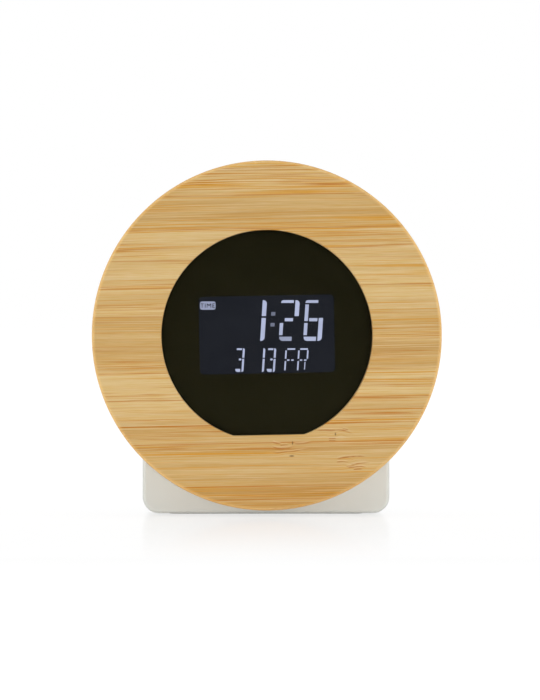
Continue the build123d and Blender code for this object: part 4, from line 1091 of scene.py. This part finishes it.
def ring(middle, radius, width, steps=32):
    """A ring of narrow faces about a point."""
    faces = []
    for step in range(steps):
        turns = [2 * math.pi * (step + ahead) / steps for ahead in (0, 1)]
        near, far = ([(reach * math.cos(turn), reach * math.sin(turn)) for turn in turns]
                     for reach in (radius - width, radius))
        faces.append(shifted([near[0], far[0], far[1], near[1]], middle))
    return faces


def half_round(rise, reach_shares, start, steps=12):
    """Half of an oval in mm, from its rise and reach as shares of the bell's size, and a start angle."""
    turns = [start + math.pi * step / steps for step in range(steps + 1)]
    reach_x, reach_z = reach_shares
    shares = [(reach_x * math.cos(turn), rise + reach_z * math.sin(turn)) for turn in turns]
    return [(x * BELL_SIZE, z * BELL_SIZE) for x, z in shares]


def bell(middle):
    """A bell about a point: a dome on a flared skirt, and its clapper."""
    dome = half_round(DOME_RISE_SHARE, DOME_REACH_SHARES, 0.0)
    drop = -SKIRT_DROP_SHARE * BELL_SIZE
    skirt = [(-BELL_SIZE, drop), (BELL_SIZE, drop)]
    clapper = half_round(-CLAPPER_DROP_SHARE, CLAPPER_REACH_SHARES, math.pi)
    return [shifted(dome + skirt, middle), shifted(clapper, middle)]


print("a bell has", sum(len(outline) for outline in bell((0.0, 0.0))), "corners")

# %% [markdown]
# ## Printing the signs
# The signs are pad printed on the real cover, a thin grey layer, so they are raised by the same tree as the
# segments and sunk a hair into the cover. Each sign finds its own place from the box of the control below
# or beside it, and moves with it when the source changes.

# %% Printed signs
SIGN_GAP = 2.3
BELL_GAP = 2.9
SWITCH_SIGN_GAP = 3.0
SIGN_STROKE = 0.30
SIGN_THICKNESS = 0.05 * MM
SIGN_SINK = 0.01 * MM
# Signs in mm about their middle: the dial's radius and hands, and the outlines of the tick and the arrows
DIAL_RADIUS = 1.25
DIAL_HANDS = (((0.0, -0.1), (0.0, 0.75)), ((0.2, 0.0), (0.65, -0.15)))
PLAIN_SIGNS = {
    "set_button": ((-1.2, 0.1), (-0.3, -1.0), (1.3, 1.0), (0.95, 1.2), (-0.32, -0.45), (-0.9, 0.35)),
    "up_button": ((-1.2, -0.9), (1.2, -0.9), (0.0, 1.1)),
    "down_button": ((-1.2, 0.9), (0.0, -1.1), (1.2, 0.9))}
SWITCH_SIGN_RADIUS = 1.0


def above(node, gap):
    """Where a control's sign goes: a gap above it, in mm from the face's middle, seen from the back."""
    low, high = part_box(node)
    return (-(low.x + high.x) / 2 / MM, (high.z - AXIS_Z) / MM + gap)


def rear_sign_outlines():
    """Outlines of all printed signs."""
    dial = above("mode_button", SIGN_GAP)
    outlines = ring(dial, DIAL_RADIUS, SIGN_STROKE)
    outlines += [shifted(stroke(start, end, SIGN_STROKE), dial) for start, end in DIAL_HANDS]
    outlines += [shifted(sign, above(node, SIGN_GAP)) for node, sign in PLAIN_SIGNS.items()]
    outlines += bell(above("slide_switch", BELL_GAP))
    low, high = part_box("slide_switch")
    x, level = -(low.x + high.x) / 2 / MM, ((low.z + high.z) / 2 - AXIS_Z) / MM
    away = (high.x - low.x) / MM / 2 + SWITCH_SIGN_GAP
    bottom, top = (0.0, -SWITCH_SIGN_RADIUS), (0.0, SWITCH_SIGN_RADIUS)
    outlines.append(shifted(stroke(bottom, top, SIGN_STROKE), (x - away, level)))
    return outlines + ring((x + away, level), SWITCH_SIGN_RADIUS, SIGN_STROKE)


print_grey = moulded_material("print_grey", colour(128, 128, 125), 0.60, clouds=0.06, edge_highlight=0.0, bump=0.05)
cover_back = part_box("rear_cover")[1].y
sign_outlines = rear_sign_outlines()
sign_mesh = flat_mesh("signs_flat", sign_outlines, cover_back - SIGN_SINK, rear=True)
raise_marks("rear_signs", sign_mesh, "base", "grey_plastic", SIGN_THICKNESS, print_grey)
print("signs", len(sign_outlines), "faces, cover back at", round(cover_back / MM, 2), "mm")

# %% [markdown]
# ## Soft studio light
# The photograph is lit evenly from all round, as in a light tent. The world is white wherever the camera, a
# gloss or a glass looks at it, but as a light it is weak, because an even white world alone would leave
# every form flat. The Light Path node tells the two kinds of rays apart.

# %% White world
TENT_LEVEL = 0.30


def seen_share(w):
    """1 for rays from the camera, off a gloss or through a glass, and 0 for rays that light."""
    path = w.add("ShaderNodeLightPath").outputs
    mirrored = w.sum("MAXIMUM", path["Is Glossy Ray"], path["Is Transmission Ray"])
    return w.sum("MAXIMUM", path["Is Camera Ray"], mirrored)


world = bpy.data.worlds.new("light_tent")
bpy.context.scene.world = world
world.use_nodes = True
world.node_tree.nodes.clear()
tent = Wiring(world.node_tree)
tent_inputs = {"Value": seen_share(tent), "To Min": TENT_LEVEL, "To Max": 1.0}
tent_level = tent.add("ShaderNodeMapRange", tent_inputs).outputs["Result"]
sky = tent.add("ShaderNodeBackground", {"Color": WHITE, "Strength": tent_level})
tent.add("ShaderNodeOutputWorld", {"Surface": sky.outputs[0]})
print("world lights at", TENT_LEVEL, "and is seen white")

# %% [markdown]
# ## Lamps
# A small lamp low in front, just above the floor below the camera, lights the face and the base without
# throwing the disc's shadow on the base. Soft boxes at the sides catch the rounded edges, and others above
# and behind light the rest. Reflections do not see the lamps, so that no bright square shows in the
# polished window.

# %% Lamps
# Lamps: name, place, width and height of the soft box in metres, and power in watts
LAMPS = (
    ("front_lamp", (0.0, -1.25, 0.022), (0.24, 0.04), 6.5),
    ("left_lamp", (-1.30, -0.15, 0.50), (0.9, 0.9), 6.2),
    ("right_lamp", (1.30, -0.15, 0.50), (0.9, 0.9), 6.2),
    ("top_lamp", (0.0, -0.25, 1.45), (1.0, 1.0), 3.6),
    ("back_left_lamp", (-0.60, 1.10, 0.50), (0.8, 0.8), 3.4),
    ("back_right_lamp", (0.60, 1.10, 0.50), (0.8, 0.8), 3.4))

for name, place, size, watts in LAMPS:
    lamp = bpy.data.objects.new(name, bpy.data.lights.new(name, "AREA"))
    bpy.context.collection.objects.link(lamp)
    lamp.data.shape = "RECTANGLE"
    lamp.data.size, lamp.data.size_y = size
    lamp.data.energy = watts
    lamp.location = place
    lamp.rotation_euler = (face_front - lamp.location).to_track_quat("-Z", "Y").to_euler()
    lamp.visible_glossy = False
    lamp.visible_transmission = False
print("lamps", len(LAMPS), "with", round(sum(lamp[-1] for lamp in LAMPS), 1), "watts in all")

# %% [markdown]
# ## Black cards
# A polished window mirrors whatever stands behind the camera and lies on the table before it, so
# photographers put black cards there. Only reflections and glass see these two: they are hidden from the
# camera and from the light that makes things bright, and they throw no shadow.

# %% Black cards
CARD_SIZE = 1.2
CARD_SETBACK = 0.25
CARD_LIFT = 1.0 * MM


def flat_sheet(name, size, matrix, material):
    """A square sheet for the stage, facing its own z."""
    half = size / 2
    corners = [(-half, -half, 0), (half, -half, 0), (half, half, 0), (-half, half, 0)]
    mesh = bpy.data.meshes.new(name)
    mesh.from_pydata(corners, [], [(0, 1, 2, 3)])
    mesh.transform(matrix)
    mesh.materials.append(material)
    sheet = bpy.data.objects.new(name, mesh)
    bpy.context.collection.objects.link(sheet)
    return sheet


card_material, card_wiring, card_shader = new_material("card")
link(card_wiring, card_shader, Base_Color=BLACK, Roughness=1.0, Specular_IOR_Level=0.0)
card_place = camera.location + back * CARD_SETBACK
upright = Matrix.Translation(card_place) @ camera.rotation_euler.to_matrix().to_4x4()
lying = Matrix.Translation((0, card_place.y + CARD_SIZE / 2, CARD_LIFT))
for name, matrix in (("card_behind_camera", upright), ("card_on_table", lying)):
    card = flat_sheet(name, CARD_SIZE, matrix, card_material)
    card.visible_camera = False
    card.visible_diffuse = False
    card.visible_shadow = False
print("upright card at", [round(side, 2) for side in card_place])

# %% [markdown]
# ## The floor
# The clock stands on a plain white sheet that runs into the white background. The sheet glows a little for
# the camera, so that it stays white, yet it still takes the soft shadow under the base and a faint mirror
# image. Both change with the distance from the clock: far away the sheet is only white.

# %% White floor
FLOOR_SIZE = 12.0
FLOOR_DROP = 0.02 * MM
PAPER = (0.95, 0.95, 0.95, 1.0)
GLOW_LEVEL = 1.07
# Share of the glow near the clock, and the distances in metres from which it grows and at which it is full
GLOW_SHARE = 0.82
GLOW_REACH = (0.20, 0.60)
# Share of the mirror image near the clock, and the distances from which it fades and at which it is gone
MIRROR_SHARE = 0.24
MIRROR_REACH = (0.02, 0.25)
MIRROR_ROUGHNESS = 0.12

floor_material, sheet = empty_material("floor")
paper = sheet.add("ShaderNodeBsdfDiffuse", {"Color": PAPER})
glow = sheet.add("ShaderNodeEmission", {"Color": WHITE, "Strength": GLOW_LEVEL})
mirror = sheet.add("ShaderNodeBsdfGlossy", {"Color": WHITE, "Roughness": MIRROR_ROUGHNESS})
spot = sheet.add("ShaderNodeTexCoord").outputs["Object"]
away = sheet.add("ShaderNodeVectorMath", {0: spot}, operation="LENGTH").outputs["Value"]
glow_share = sheet.sum("MULTIPLY", seen_share(sheet), sheet.stretch(away, *GLOW_REACH, GLOW_SHARE, 1.0))
lit = sheet.add("ShaderNodeMixShader", {0: glow_share, 1: paper.outputs[0], 2: glow.outputs[0]})
camera_ray = sheet.add("ShaderNodeLightPath").outputs["Is Camera Ray"]
mirror_share = sheet.sum("MULTIPLY", camera_ray, sheet.stretch(away, *MIRROR_REACH, MIRROR_SHARE, 0.0))
surface = sheet.add("ShaderNodeMixShader", {0: mirror_share, 1: lit.outputs[0], 2: mirror.outputs[0]})
sheet.add("ShaderNodeOutputMaterial", {"Surface": surface.outputs[0]})
flat_sheet("floor", FLOOR_SIZE, Matrix.Translation((0, 0, -FLOOR_DROP)), floor_material)
print("floor glow share", GLOW_SHARE, "mirror share", MIRROR_SHARE)

# %% [markdown]
